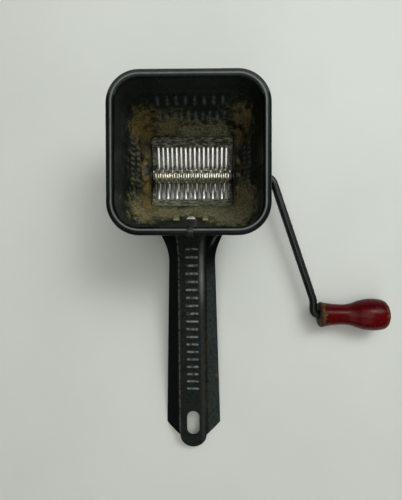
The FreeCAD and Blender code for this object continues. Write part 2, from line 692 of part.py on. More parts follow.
def bearing_eyelets():
    """Flanged eyelet in each bearing cheek: a tube through the wall, a flange outside and a lip inside."""
    bore = f"({ROD_RADIUS} + dims.running_clearance)"
    outer = f"({bore} + dims.eyelet_wall)"
    flange = f"({outer} + dims.eyelet_flange)"
    lip = f"({outer} + dims.eyelet_wall)"
    thick = "dims.eyelet_lip"
    length = f"(dims.sheet + 2 * {thick})"
    inner_x = f"({THROAT_HALF_X} - {thick})"
    wall_x = f"({THROAT_HALF_X} + dims.sheet)"
    pieces = []
    for side, tube_x, flange_x, lip_x in (
            ("left", f"-{inner_x} - {length}", f"-{wall_x} - {thick}", f"-{THROAT_HALF_X}"),
            ("right", inner_x, wall_x, inner_x)):
        tube = cylinder_x(f"eyelet_tube_{side}", outer, length, tube_x)
        outside = cylinder_x(f"eyelet_flange_{side}", flange, thick, flange_x)
        inside = cylinder_x(f"eyelet_lip_{side}", lip, thick, lip_x)
        solid = fuse(f"eyelet_ends_{side}", fuse(f"eyelet_outer_{side}", tube, outside), inside)
        hole = cylinder_x(f"eyelet_hole_{side}", bore, length, tube_x)
        pieces.append(cut(f"bearing_eyelet_{side}", solid, hole))
    return pieces


def crank_rod():
    """One bent rod: shaft with a flat for the discs, slanting arm and knob pin with a peened head."""
    body = new_body("crank_rod")
    left_end = f"(-{CAP_SEAT} - dims.cap_length + dims.washer_thickness)"
    turn = "(90 - dims.crank_slant)"
    path = add_sketch(body, "path")
    slant, throw = size("crank_slant"), size("crank_throw")
    elbow, easing, pin = size("elbow_radius"), size("easing_radius"), size("pin_radius")
    bend_x, end_x = size("crank_bend_x"), size("crank_end_x")
    fall = Rotation(Vector(0, 0, 1), slant).multVec(Vector(0, -1, 0))
    out = Rotation(Vector(0, 0, 1), slant).multVec(Vector(1, 0, 0))
    arm_y = (end_x - bend_x) * fall.y / fall.x
    bend_start = (bend_x - elbow + elbow * out.x, -elbow + elbow * out.y)
    ease_end = (end_x - easing + easing * out.x, arm_y + easing * out.y)
    shaft = line(path, (-bend_x, 0), (bend_x - elbow, 0))
    bend = arc(path, (bend_x - elbow, -elbow), bend_start, (bend_x - elbow, 0))
    arm = line(path, bend_start, ease_end)
    ease = arc(path, (end_x - easing, arm_y), (end_x, arm_y), ease_end)
    run = line(path, (end_x, arm_y), (end_x, -throw + pin))
    turn_in = arc(path, (end_x + pin, -throw + pin), (end_x, -throw + pin), (end_x + pin, -throw))
    stem = line(path, (end_x + pin, -throw), (end_x + GUESS + pin, -throw))
    for first, second in (((shaft, 2), (bend, 2)), ((bend, 1), (arm, 1)), ((arm, 2), (ease, 2)),
                          ((ease, 1), (run, 1)), ((run, 2), (turn_in, 1)), ((turn_in, 2), (stem, 1))):
        path.addConstraint(Sketcher.Constraint("Tangent", *first, *second))
    path.addConstraint(Sketcher.Constraint("Horizontal", shaft))
    path.addConstraint(Sketcher.Constraint("Horizontal", stem))
    path.addConstraint(Sketcher.Constraint("Vertical", run))
    pin_point(path, shaft, 1, left_end, "0")
    pin_point(path, shaft, 2, f"dims.crank_bend_x - dims.elbow_radius * tan({turn} / 2)", None)
    set_radius(path, bend, "dims.elbow_radius")
    set_radius(path, ease, "dims.easing_radius")
    set_radius(path, turn_in, "dims.pin_radius")
    set_angle(path, arm, "dims.crank_slant - 90")
    pin_point(path, run, 1, "dims.crank_end_x", None)
    pin_point(path, stem, 2, PIN_END, "-dims.crank_throw")
    section = add_sketch(body, "section", role="YZ_Plane", lift=left_end)
    circle(section, ROD_RADIUS)
    sweep(body, section, path)
    flat = add_sketch(body, "flat", lift=ROD_RADIUS)
    half = f"({STACK_HALF} + dims.washer_thickness)"
    polygon(flat, [(f"-{half}", f"-{ROD_RADIUS}"), (half, f"-{ROD_RADIUS}"),
                   (half, ROD_RADIUS), (f"-{half}", ROD_RADIUS)])
    pocket(body, flat, "dims.rod_flat")
    head = add_sketch(body, "head", role="YZ_Plane", lift=PIN_END)
    circle(head, "dims.head_diameter / 2", "-dims.crank_throw")
    pad(body, head, "dims.head_height")
    place(body, "0", "-dims.shaft_setback", "dims.shaft_height", turn=CRANK_DROP)
    return body


def cutter_disc(index):
    """Toothed disc in one slot, with a flat in its bore that turns it with the rod."""
    body = new_body(f"cutter_disc_{index + 1:02d}")
    hub = add_sketch(body, "hub", role="YZ_Plane")
    circle(hub, "dims.hub_diameter / 2")
    pad(body, hub, "dims.disc_thickness")
    tooth = add_sketch(body, "tooth", role="YZ_Plane")
    lean = "dims.tooth_angle" if index % 2 else "dims.tooth_angle + dims.tooth_stagger"
    root, tip = "(dims.hub_diameter / 2 - dims.disc_thickness)", "dims.tooth_radius"
    outline = ((root, "dims.tooth_width"), (root, "-dims.tooth_width"),
               (tip, "-dims.tooth_hook - dims.tooth_point"), (tip, "-dims.tooth_hook + dims.tooth_point"))
    corners = []
    for radius, angle in outline:
        turned = f"(({lean} + {angle}) * 1 deg)"
        corners.append((f"{radius} * cos({turned})", f"{radius} * sin({turned})"))
    polygon(tooth, corners)
    first_tooth = pad(body, tooth, "dims.disc_thickness")
    doc.recompute()
    teeth = body.newObject("PartDesign::PolarPattern", f"{body.Name}_teeth")
    teeth.Originals = [first_tooth]
    teeth.Axis = (hub, ["N_Axis"])
    teeth.Angle = FULL_TURN
    teeth.setExpression("Occurrences", "dims.tooth_count")
    body.Tip = teeth
    bore = add_sketch(body, "bore", role="YZ_Plane", lift="dims.disc_thickness")
    flat_bore(bore)
    pocket(body, bore)
    place(body, f"({index} - dims.bar_count / 2) * dims.bar_pitch - dims.disc_thickness / 2",
          "-dims.shaft_setback", "dims.shaft_height", turn=CRANK_DROP)
    return body


def flat_bore(sketch):
    """Round hole for the rod with a straight side for the rod's flat."""
    radius = size("rod_diameter") / 2 + size("seat_clearance")
    height = radius - size("rod_flat")
    half = (radius ** 2 - height ** 2) ** 0.5
    ring = arc(sketch, (0, 0), (-half, height), (half, height))
    side = line(sketch, (half, height), (-half, height))
    join(sketch, ring, side)
    join(sketch, side, ring)
    sketch.addConstraint(Sketcher.Constraint("Horizontal", side))
    pin_point(sketch, ring, 3, "0", "0")
    set_radius(sketch, ring, f"{ROD_RADIUS} + dims.seat_clearance")
    pin_point(sketch, side, 1, None, f"{ROD_RADIUS} + dims.seat_clearance - dims.rod_flat")


def rotor():
    """Discs, the spacers between them and a washer at each end of the stack."""
    bore = f"({ROD_RADIUS} + dims.seat_clearance)"
    discs = int(size("bar_count")) + 1
    pieces = [cutter_disc(index) for index in range(discs)]
    for index in range(discs - 1):
        x = f"({index} - dims.bar_count / 2) * dims.bar_pitch + dims.disc_thickness / 2"
        pieces.append(ring_x(f"spacer_{index + 1:02d}", "dims.spacer_diameter / 2", bore,
                             "dims.bar_pitch - dims.disc_thickness", x))
    for side, x in (("left", f"-{STACK_HALF} - dims.washer_thickness"), ("right", STACK_HALF)):
        pieces.append(ring_x(f"rotor_washer_{side}", "dims.hub_diameter / 2", bore,
                             "dims.washer_thickness", x))
    return pieces


def shaft_end_cap():
    """Cap pressed on the rod's left end, outside the hopper."""
    body = new_body("shaft_end_cap")
    disc = add_sketch(body, "disc", role="YZ_Plane")
    circle(disc, "dims.cap_diameter / 2")
    block = pad(body, disc, "dims.cap_length")
    doc.recompute()
    crown = body.newObject("PartDesign::Fillet", "cap_crown")
    outer = [f"Edge{index + 1}" for index, edge in enumerate(block.Shape.Edges)
             if abs(edge.CenterOfMass.x) < SAME_PLACE]
    crown.Base = (block, outer)
    crown.setExpression("Radius", "dims.cap_crown")
    bore = add_sketch(body, "bore", role="YZ_Plane", lift="dims.cap_length")
    circle(bore, f"{ROD_RADIUS} + dims.seat_clearance")
    pocket(body, bore, "dims.cap_length - dims.washer_thickness + dims.seat_clearance")
    place(body, f"-{CAP_SEAT} - dims.cap_length", "-dims.shaft_setback", "dims.shaft_height")
    return body


def knob():
    """Turned grip: a short base, a waist, a belly near the far end and a recess for the pin's washer."""
    body = new_body("knob")
    turned = add_sketch(body, "turned")
    bore, recess = size("rod_diameter") / 2 + size("running_clearance"), size("knob_recess") / 2
    length, floor = size("knob_length"), size("knob_length") - size("knob_recess_depth")
    edge, base = size("knob_edge"), size("knob_base") / 2
    neck, belly = size("knob_neck") / 2, size("knob_belly") / 2
    neck_x, belly_x, belly_curve = size("knob_neck_x"), size("knob_belly_x"), size("knob_belly_curve")
    swell = ((belly_x - neck_x) ** 2 + (belly - neck) ** 2) / (2 * (belly - neck)) - belly_curve
    cove = ((neck_x - edge) ** 2 + (base - neck) ** 2) / (2 * (base - neck))
    nose_x, belly_y = length - size("knob_nose"), belly - belly_curve
    nose_y = belly_y + (belly_curve ** 2 - (nose_x - belly_x) ** 2) ** 0.5
    share = swell / (swell + belly_curve)
    meeting = (neck_x + (belly_x - neck_x) * share, neck + swell + (belly_y - neck - swell) * share)
    end_rim = (length, size("knob_face") / 2)
    mouth = line(turned, (0, bore), (0, base - edge))
    lip = arc(turned, (edge, base - edge), (edge, base), (0, base - edge))
    waist = arc(turned, (neck_x, neck + cove), (edge, base), (neck_x, neck))
    rise = arc(turned, (neck_x, neck + swell), (neck_x, neck), meeting)
    crest = arc(turned, (belly_x, belly_y), (nose_x, nose_y), meeting)
    nose = arc(turned, (nose_x - edge, nose_y - belly), end_rim, (nose_x, nose_y))
    face = line(turned, end_rim, (length, recess))
    wall = line(turned, (length, recess), (floor, recess))
    seat = line(turned, (floor, recess), (floor, bore))
    hole = line(turned, (floor, bore), (0, bore))
    for first, second in (((mouth, 2), (lip, 2)), ((lip, 1), (waist, 1)), ((waist, 2), (rise, 1)),
                          ((nose, 1), (face, 1)), ((face, 2), (wall, 1)), ((wall, 2), (seat, 1)),
                          ((seat, 2), (hole, 1)), ((hole, 2), (mouth, 1))):
        turned.addConstraint(Sketcher.Constraint("Coincident", *first, *second))
    turned.addConstraint(Sketcher.Constraint("Tangent", rise, 2, crest, 2))
    turned.addConstraint(Sketcher.Constraint("Tangent", crest, 1, nose, 2))
    for upright in (mouth, face, seat):
        turned.addConstraint(Sketcher.Constraint("Vertical", upright))
    for level in (wall, hole):
        turned.addConstraint(Sketcher.Constraint("Horizontal", level))
    pin_point(turned, mouth, 1, "0", f"{ROD_RADIUS} + dims.running_clearance")
    pin_point(turned, lip, 3, "dims.knob_edge", "dims.knob_base / 2 - dims.knob_edge")
    turned.addConstraint(Sketcher.Constraint("Vertical", lip, 3, lip, 1))
    turned.addConstraint(Sketcher.Constraint("Horizontal", lip, 3, lip, 2))
    pin_point(turned, waist, 2, "dims.knob_neck_x", "dims.knob_neck / 2")
    pin_point(turned, waist, 3, "dims.knob_neck_x", None)
    pin_point(turned, rise, 3, "dims.knob_neck_x", None)
    pin_point(turned, crest, 3, "dims.knob_belly_x", "dims.knob_belly / 2 - dims.knob_belly_curve")
    set_radius(turned, crest, "dims.knob_belly_curve")
    pin_point(turned, crest, 1, "dims.knob_length - dims.knob_nose", None)
    pin_point(turned, face, 1, "dims.knob_length", "dims.knob_face / 2")
    pin_point(turned, face, 2, None, "dims.knob_recess / 2")
    pin_point(turned, wall, 2, "dims.knob_length - dims.knob_recess_depth", None)
    turning = body.newObject("PartDesign::Revolution", "knob_turning")
    turning.Profile = turned
    turning.ReferenceAxis = (turned, ["H_Axis"])
    turning.Angle = FULL_TURN
    place(body, KNOB_X, KNOB_Y, KNOB_Z)
    return body


def knob_washer():
    """Washer between the knob's recess and the peened head of the pin."""
    return ring_x("knob_washer", "dims.knob_recess / 2 - dims.lay_clearance",
                  f"{ROD_RADIUS} + dims.seat_clearance", "dims.washer_thickness",
                  f"{PIN_END} - dims.washer_thickness", y=KNOB_Y, z=KNOB_Z)


def write(pieces):
    """Refuse a failed object or solid, then write each piece to its own file."""
    failed = [item.Name for item in doc.Objects if {"Invalid", "Error"} & set(item.State)]
    unsound = [piece.Label for piece in pieces if piece.Shape.isNull() or not piece.Shape.isValid()]
    if failed or unsound:
        raise RuntimeError(f"failed objects {failed}, unsound pieces {unsound}")
    os.makedirs("parts", exist_ok=True)
    for piece in pieces:
        piece.Shape.exportStep(f"parts/{piece.Label}.step")
        print(piece.Label, len(piece.Shape.Solids), round(piece.Shape.Volume, 2))


def main():
    """Build every piece of the mill and write it."""
    pieces = [hopper(), slotted_grate(), handle(), rim_strap(), *bearing_eyelets(), shaft_end_cap(),
              crank_rod(), *rotor(), knob(), knob_washer()]
    doc.recompute()
    write(pieces)


if __name__ == "__main__":
    main()
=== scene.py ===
"""Herb mill with a hand crank: shapes and finishes of its hopper, grate, handle, rotor, crank and knob.

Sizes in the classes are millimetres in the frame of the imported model, and meshes are written in metres.
"""
import logging
import math
from dataclasses import dataclass, field
from enum import Enum
from typing import Iterable, Optional, Sequence, Union

import bmesh
import bpy
import numpy as np
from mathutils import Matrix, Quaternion, Vector


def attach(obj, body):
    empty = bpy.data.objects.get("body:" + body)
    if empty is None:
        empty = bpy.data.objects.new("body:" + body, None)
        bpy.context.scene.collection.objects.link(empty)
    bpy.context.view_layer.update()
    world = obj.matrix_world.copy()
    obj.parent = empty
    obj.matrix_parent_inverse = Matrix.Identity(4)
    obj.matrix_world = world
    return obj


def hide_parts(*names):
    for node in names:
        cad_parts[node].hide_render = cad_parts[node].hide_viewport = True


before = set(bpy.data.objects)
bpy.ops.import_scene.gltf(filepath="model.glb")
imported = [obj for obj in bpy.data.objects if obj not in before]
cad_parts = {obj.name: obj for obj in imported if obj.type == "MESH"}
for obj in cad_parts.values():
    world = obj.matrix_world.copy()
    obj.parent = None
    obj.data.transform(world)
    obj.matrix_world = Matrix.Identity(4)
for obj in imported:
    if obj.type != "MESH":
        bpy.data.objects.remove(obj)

MM = 0.001
LOG = logging.getLogger("herb_mill")

Point = tuple[float, float, float]
Colour = tuple[float, float, float]
Feed = Union[float, Colour, bpy.types.NodeSocket]
LevelRun = tuple[float, float, int]

X_AXIS: Point = (1.0, 0.0, 0.0)
Y_AXIS: Point = (0.0, 1.0, 0.0)
Z_AXIS: Point = (0.0, 0.0, 1.0)

# Angles in degrees above which an edge stays sharp, on plain pieces and on those with soft bends
CREASE = 40.0
SOFT_CREASE = 50.0

# Sizes that several sub-assemblies share
SHAFT_Y = -1.9
SHAFT_Z = 10.0
BEARING_BORE = 1.95
DISC_PITCH = 2.25
THROAT_HALF_X = 20.0
THROAT_HALF_Y = 16.6
THROAT_CORNER = 2.0
HOPPER_SHEET = 0.8
ROOT_REACH = 24.13
ROOT_HEIGHT = 27.0
TENON_OFFSET = 6.4


class Body(Enum):
    """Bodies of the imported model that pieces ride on."""

    MILL = "root"
    ROTOR = "rotor"
    GRIP = "grip"


class Slot(Enum):
    """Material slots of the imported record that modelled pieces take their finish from."""

    PAINT = "black_paint"
    ROD = "rod_paint"
    TINNED = "tinned_steel"
    DULL = "dull_steel"
    LACQUER = "red_lacquer"


class Side(Enum):
    """Ends of the shaft, by the sign of X."""

    LEFT = -1
    RIGHT = 1


def smooth_step(value: np.ndarray, low: float, high: float) -> np.ndarray:
    """Rise smoothly from 0 at one value to 1 at another.

    Args:
        value: Numbers to grade.
        low: Value at which the rise starts.
        high: Value at which it ends.

    Returns:
        Grades between 0 and 1, in the shape of the numbers.
    """
    share = np.clip((np.asarray(value, float) - low) / (high - low), 0.0, 1.0)
    return share * share * (3.0 - 2.0 * share)


def soft_ramp(value: np.ndarray, ease: float) -> np.ndarray:
    """Zero below zero and the value itself above, with a round corner between.

    Args:
        value: Numbers to ramp.
        ease: Half the length of the round corner.

    Returns:
        Ramped numbers.
    """
    value = np.asarray(value, float)
    corner = (value + ease) ** 2 / (4.0 * ease)
    return np.where(value < -ease, 0.0, np.where(value > ease, value, corner))


def bell(distance: np.ndarray, reach: float) -> np.ndarray:
    """Soft hump, 1 at no distance."""
    return np.exp(-(np.asarray(distance, float) / reach) ** 2)


def arc_points(centre: Sequence[float], radius: float, start: float, end: float,
               step: float = 6.0) -> np.ndarray:
    """Points along an arc in a plane.

    Args:
        centre: Middle of the arc.
        radius: Its radius.
        start: First angle in degrees.
        end: Last angle in degrees.
        step: Largest angle between points.

    Returns:
        Points as rows of two.
    """
    count = max(2, int(math.ceil(abs(end - start) / step)) + 1)
    angles = np.radians(np.linspace(start, end, count))
    return np.column_stack((centre[0] + radius * np.cos(angles), centre[1] + radius * np.sin(angles)))


@dataclass
class Form:
    """Points and faces of one mesh, gathered before it becomes an object."""

    name: str
    points: list[np.ndarray] = field(default_factory=list)
    faces: list[tuple[int, ...]] = field(default_factory=list)
    count: int = 0

    def add(self, points: np.ndarray) -> np.ndarray:
        """Add points.

        Args:
            points: Rows of three numbers, in any array shape.

        Returns:
            Indices in the shape of the rows.
        """
        flat = np.asarray(points, float).reshape(-1, 3)
        index = np.arange(self.count, self.count + len(flat)).reshape(np.shape(points)[:-1])
        self.points.append(flat)
        self.count += len(flat)
        return index

    def quads(self, index: np.ndarray) -> None:
        """Add a face for each cell of an index grid."""
        cells = (index[:-1, :-1], index[1:, :-1], index[1:, 1:], index[:-1, 1:])
        self.faces.extend(map(tuple, np.stack(cells, axis=-1).reshape(-1, 4).tolist()))

    def net(self, points: np.ndarray, ring: bool = True, loop: bool = False) -> np.ndarray:
        """Add a net of quads.

        Args:
            points: Rows of points, as an array of rows, columns and three numbers.
            ring: Whether the last column joins the first.
            loop: Whether the last row joins the first.

        Returns:
            Indices of the points.
        """
        index = self.add(points)
        wide = np.concatenate((index, index[:, :1]), axis=1) if ring else index
        self.quads(np.concatenate((wide, wide[:1]), axis=0) if loop else wide)
        return index

    def fan(self, ring: np.ndarray, tip: Sequence[float]) -> None:
        """Close a ring of points with triangles to a tip.

        Args:
            ring: Indices of the ring's points.
            tip: Place of the tip.
        """
        top = int(self.add(np.array([tip]))[0])
        for first, second in zip(ring, np.roll(ring, -1)):
            self.faces.append((int(first), int(second), top))

    def build(self, crease: float = CREASE) -> bpy.types.Object:
        """Make the object, with its faces turned outwards.

        Args:
            crease: Angle in degrees above which an edge stays sharp.

        Returns:
            The object, linked into the scene.
        """
        mesh = bpy.data.meshes.new(self.name)
        mesh.from_pydata((np.concatenate(self.points) * MM).tolist(), [], self.faces)
        work = bmesh.new()
        work.from_mesh(mesh)
        bmesh.ops.recalc_face_normals(work, faces=work.faces)
        work.to_mesh(mesh)
        work.free()
        item = bpy.data.objects.new(self.name, mesh)
        bpy.context.scene.collection.objects.link(item)
        smooth(item, crease)
        return item


def smooth(item: bpy.types.Object, crease: float) -> None:
    """Shade an object smooth, apart from edges sharper than an angle in degrees."""
    item.data.shade_smooth()
    item.data.set_sharp_from_angle(angle=math.radians(crease))


def settle(item: bpy.types.Object) -> None:
    """Turn an object's modifiers into its mesh.

    Args:
        item: Object with modifiers, which has none afterwards.
    """
    graph = bpy.context.evaluated_depsgraph_get()
    item.data = bpy.data.meshes.new_from_object(item.evaluated_get(graph), depsgraph=graph)
    item.modifiers.clear()


def carve(item: bpy.types.Object, cutter: bpy.types.Object, crease: float = CREASE) -> None:
    """Cut one object out of another and remove the cutter.

    Args:
        item: Object that is cut.
        cutter: Object that cuts, gone afterwards.
        crease: Angle in degrees above which an edge stays sharp.
    """
    cut = item.modifiers.new("cut", "BOOLEAN")
    cut.operation, cut.solver, cut.object = "DIFFERENCE", "EXACT", cutter
    settle(item)
    bpy.data.objects.remove(cutter)
    smooth(item, crease)


def grade(item: bpy.types.Object, grades: dict[str, np.ndarray]) -> None:
    """Store numbers from 0 to 1 for each point of an object's mesh.

    Args:
        item: Object whose material reads them.
        grades: One number for each point, by the grade's name.
    """
    for name, values in grades.items():
        layer = item.data.attributes.new(name, "FLOAT", "POINT")
        layer.data.foreach_set("value", np.clip(values, 0.0, 1.0).astype(np.float32))


def places(item: bpy.types.Object) -> np.ndarray:
    """Read the points of an object's mesh.

    Args:
        item: The object.

    Returns:
        Points in millimetres, as rows of three.
    """
    flat = np.zeros(len(item.data.vertices) * 3, np.float32)
    item.data.vertices.foreach_get("co", flat)
    return flat.reshape(-1, 3).astype(float) / MM


def prism(form: Form, outline: np.ndarray, origin: Point, axes: Sequence[Point], depth: float) -> None:
    """Add a straight bar with a flat outline.

    Args:
        form: Mesh that it is added to.
        outline: Corners as rows of two.
        origin: Place of the outline's zero.
        axes: Directions of the outline's two axes and of the depth.
        depth: Length along the third axis, half to each side.
    """
    first, second, along = (np.array(axis, float) for axis in axes)
    flat = np.array(origin) + outline[:, :1] * first + outline[:, 1:] * second
    ends = form.net(np.stack((flat - along * depth / 2, flat + along * depth / 2)))
    form.faces.append(tuple(ends[0].tolist()))
    form.faces.append(tuple(ends[1][::-1].tolist()))


def lathe(form: Form, profile: np.ndarray, centre: Sequence[float], segments: int = 72) -> None:
    """Add a closed profile turned about an axis along X.

    Args:
        form: Mesh that it is added to.
        profile: Place along X and radius, as rows of two.
        centre: Y and Z of the axis.
        segments: Divisions of the turn.
    """
    turn = np.linspace(0.0, 2.0 * math.pi, segments, endpoint=False)
    along, radius = profile[:, :1], profile[:, 1:]
    rows = np.stack((np.broadcast_to(along, (len(profile), segments)),
                     centre[0] + radius * np.cos(turn), centre[1] + radius * np.sin(turn)), axis=-1)
    form.net(rows, loop=True)


def sweep(path: np.ndarray, across: np.ndarray, section: np.ndarray, scale: np.ndarray) -> np.ndarray:
    """Carry a closed section along a path that lies in a plane.

    Args:
        path: Points of the path as rows of three.
        across: Direction square to the path's plane.
        section: Points of the section as rows of two, first along across, then square to path and across.
        scale: Scale of the section at each point of the path.

    Returns:
        One row of points for each point of the path.
    """
    run = np.gradient(path, axis=0)
    run /= np.linalg.norm(run, axis=1, keepdims=True)
    out = np.cross(run, across)
    grown = section[None, :, :] * scale[:, None, None]
    return path[:, None, :] + grown[..., :1] * across + grown[..., 1:] * out[:, None, :]


class Tree:
    """Shader nodes of one material, with short ways to add and join them."""

    def __init__(self, name: str) -> None:
        """Start a material with an empty node tree.

        Args:
            name: Name of the material.
        """
        self.material = bpy.data.materials.new(name)
        self.material.use_nodes = True
        self.nodes = self.material.node_tree.nodes
        self.links = self.material.node_tree.links
        self.nodes.clear()
        self.place = self.nodes.new("ShaderNodeTexCoord").outputs["Object"]

    def feed(self, socket: bpy.types.NodeSocket, value: Feed) -> None:
        """Set a socket to a value, or link it to another socket.

        Args:
            socket: Socket that is fed.
            value: Number, colour or socket.
        """
        if isinstance(value, bpy.types.NodeSocket):
            self.links.new(value, socket)
        elif isinstance(value, tuple) and socket.type == "RGBA":
            socket.default_value = (*value, 1.0)
        else:
            socket.default_value = value

    def noise(self, scale: float, detail: float = 4.0, stretch: Point = (1.0, 1.0, 1.0),
              shift: float = 0.0, rough: float = 0.55) -> bpy.types.NodeSocket:
        """Cloudy noise in the object's own space.

        Args:
            scale: Clouds to a metre.
            detail: Finer layers.
            stretch: Scale along each axis.
            shift: Offset that tells one cloud from another.
            rough: Weight of the finer layers.

        Returns:
            Value between 0 and 1.
        """
        mapping = self.nodes.new("ShaderNodeMapping")
        mapping.inputs["Scale"].default_value = stretch
        mapping.inputs["Location"].default_value = (shift, shift * 0.7, shift * 1.3)
        self.links.new(self.place, mapping.inputs["Vector"])
        cloud = self.nodes.new("ShaderNodeTexNoise")
        cloud.inputs["Scale"].default_value = scale
        cloud.inputs["Detail"].default_value = detail
        cloud.inputs["Roughness"].default_value = rough
        self.links.new(mapping.outputs["Vector"], cloud.inputs["Vector"])
        return cloud.outputs["Fac"]

    def stripes(self, pitch: float, start: float) -> bpy.types.NodeSocket:
        """Soft stripes square to X.

        Args:
            pitch: Distance between stripes in millimetres.
            start: X of the middle of one of them.

        Returns:
            Value that is 1 in the middle of a stripe and 0 half way to the next.
        """
        wave = self.nodes.new("ShaderNodeTexWave")
        wave.wave_type, wave.bands_direction, wave.wave_profile = "BANDS", "X", "SIN"
        wave.inputs["Scale"].default_value = 2.0 * math.pi / (20.0 * pitch * MM)
        wave.inputs["Distortion"].default_value = 0.0
        wave.inputs["Phase Offset"].default_value = math.pi - 2.0 * math.pi * start / pitch
        self.links.new(self.place, wave.inputs["Vector"])
        return wave.outputs["Fac"]

    def fade(self, value: Feed, low: float, high: float, bottom: float = 0.0,
             top: float = 1.0) -> bpy.types.NodeSocket:
        """Grade a value smoothly between two limits.

        Args:
            value: Value to grade.
            low: Value that gives the bottom.
            high: Value that gives the top.
            bottom: Result at and below the low value.
            top: Result at and above the high value.

        Returns:
            Graded value.
        """
        node = self.nodes.new("ShaderNodeMapRange")
        node.interpolation_type = "SMOOTHSTEP"
        for name, number in (("From Min", low), ("From Max", high), ("To Min", bottom), ("To Max", top)):
            node.inputs[name].default_value = number
        self.feed(node.inputs["Value"], value)
        return node.outputs["Result"]

    def blend(self, share: Feed, first: Feed, second: Feed) -> bpy.types.NodeSocket:
        """Mix two colours.

        Args:
            share: Share of the second colour.
            first: Colour where the share is 0.
            second: Colour where it is 1.

        Returns:
            Mixed colour.
        """
        node = self.nodes.new("ShaderNodeMix")
        node.data_type = "RGBA"
        colours = [socket for socket in node.inputs if socket.type == "RGBA"]
        self.feed(node.inputs["Factor"], share)
        self.feed(colours[0], first)
        self.feed(colours[1], second)
        return next(socket for socket in node.outputs if socket.type == "RGBA")

    def sum_of(self, operation: str, first: Feed, second: Feed) -> bpy.types.NodeSocket:
        """Do one sum on two values.

        Args:
            operation: Name of the sum in the node's own words.
            first: First value.
            second: Second value.

        Returns:
            Result, held between 0 and 1.
        """
        node = self.nodes.new("ShaderNodeMath")
        node.operation, node.use_clamp = operation, True
        self.feed(node.inputs[0], first)
        self.feed(node.inputs[1], second)
        return node.outputs["Value"]

    def graded(self, name: str) -> bpy.types.NodeSocket:
        """Read a grade of the mesh.

        Args:
            name: Name of the grade.

        Returns:
            Number between 0 and 1, and 0 on a mesh without that grade.
        """
        node = self.nodes.new("ShaderNodeAttribute")
        node.attribute_name = name
        return node.outputs["Fac"]

    def bump(self, height: Feed, depth: float, strength: float,
             under: Optional[bpy.types.NodeSocket] = None) -> bpy.types.NodeSocket:
        """Relief too fine for the mesh.

        Args:
            height: Height between 0 and 1.
            depth: Depth of the relief in millimetres.
            strength: Share of it that shows.
            under: Coarser relief that it lies on.

        Returns:
            Normal.
        """
        node = self.nodes.new("ShaderNodeBump")
        node.inputs["Distance"].default_value = depth * MM
        node.inputs["Strength"].default_value = strength
        self.feed(node.inputs["Height"], height)
        if under is not None:
            self.links.new(under, node.inputs["Normal"])
        return node.outputs["Normal"]

    def surface(self, **feeds: Feed) -> bpy.types.Material:
        """Finish the material.

        Args:
            feeds: Values for the shader's sockets, by their names in small letters with underscores.

        Returns:
            The material.
        """
        shader = self.nodes.new("ShaderNodeBsdfPrincipled")
        sockets = {socket.name.lower().replace(" ", "_"): socket for socket in shader.inputs}
        for name, value in feeds.items():
            self.feed(sockets[name], value)
        output = self.nodes.new("ShaderNodeOutputMaterial")
        self.links.new(shader.outputs["BSDF"], output.inputs["Surface"])
        return self.material


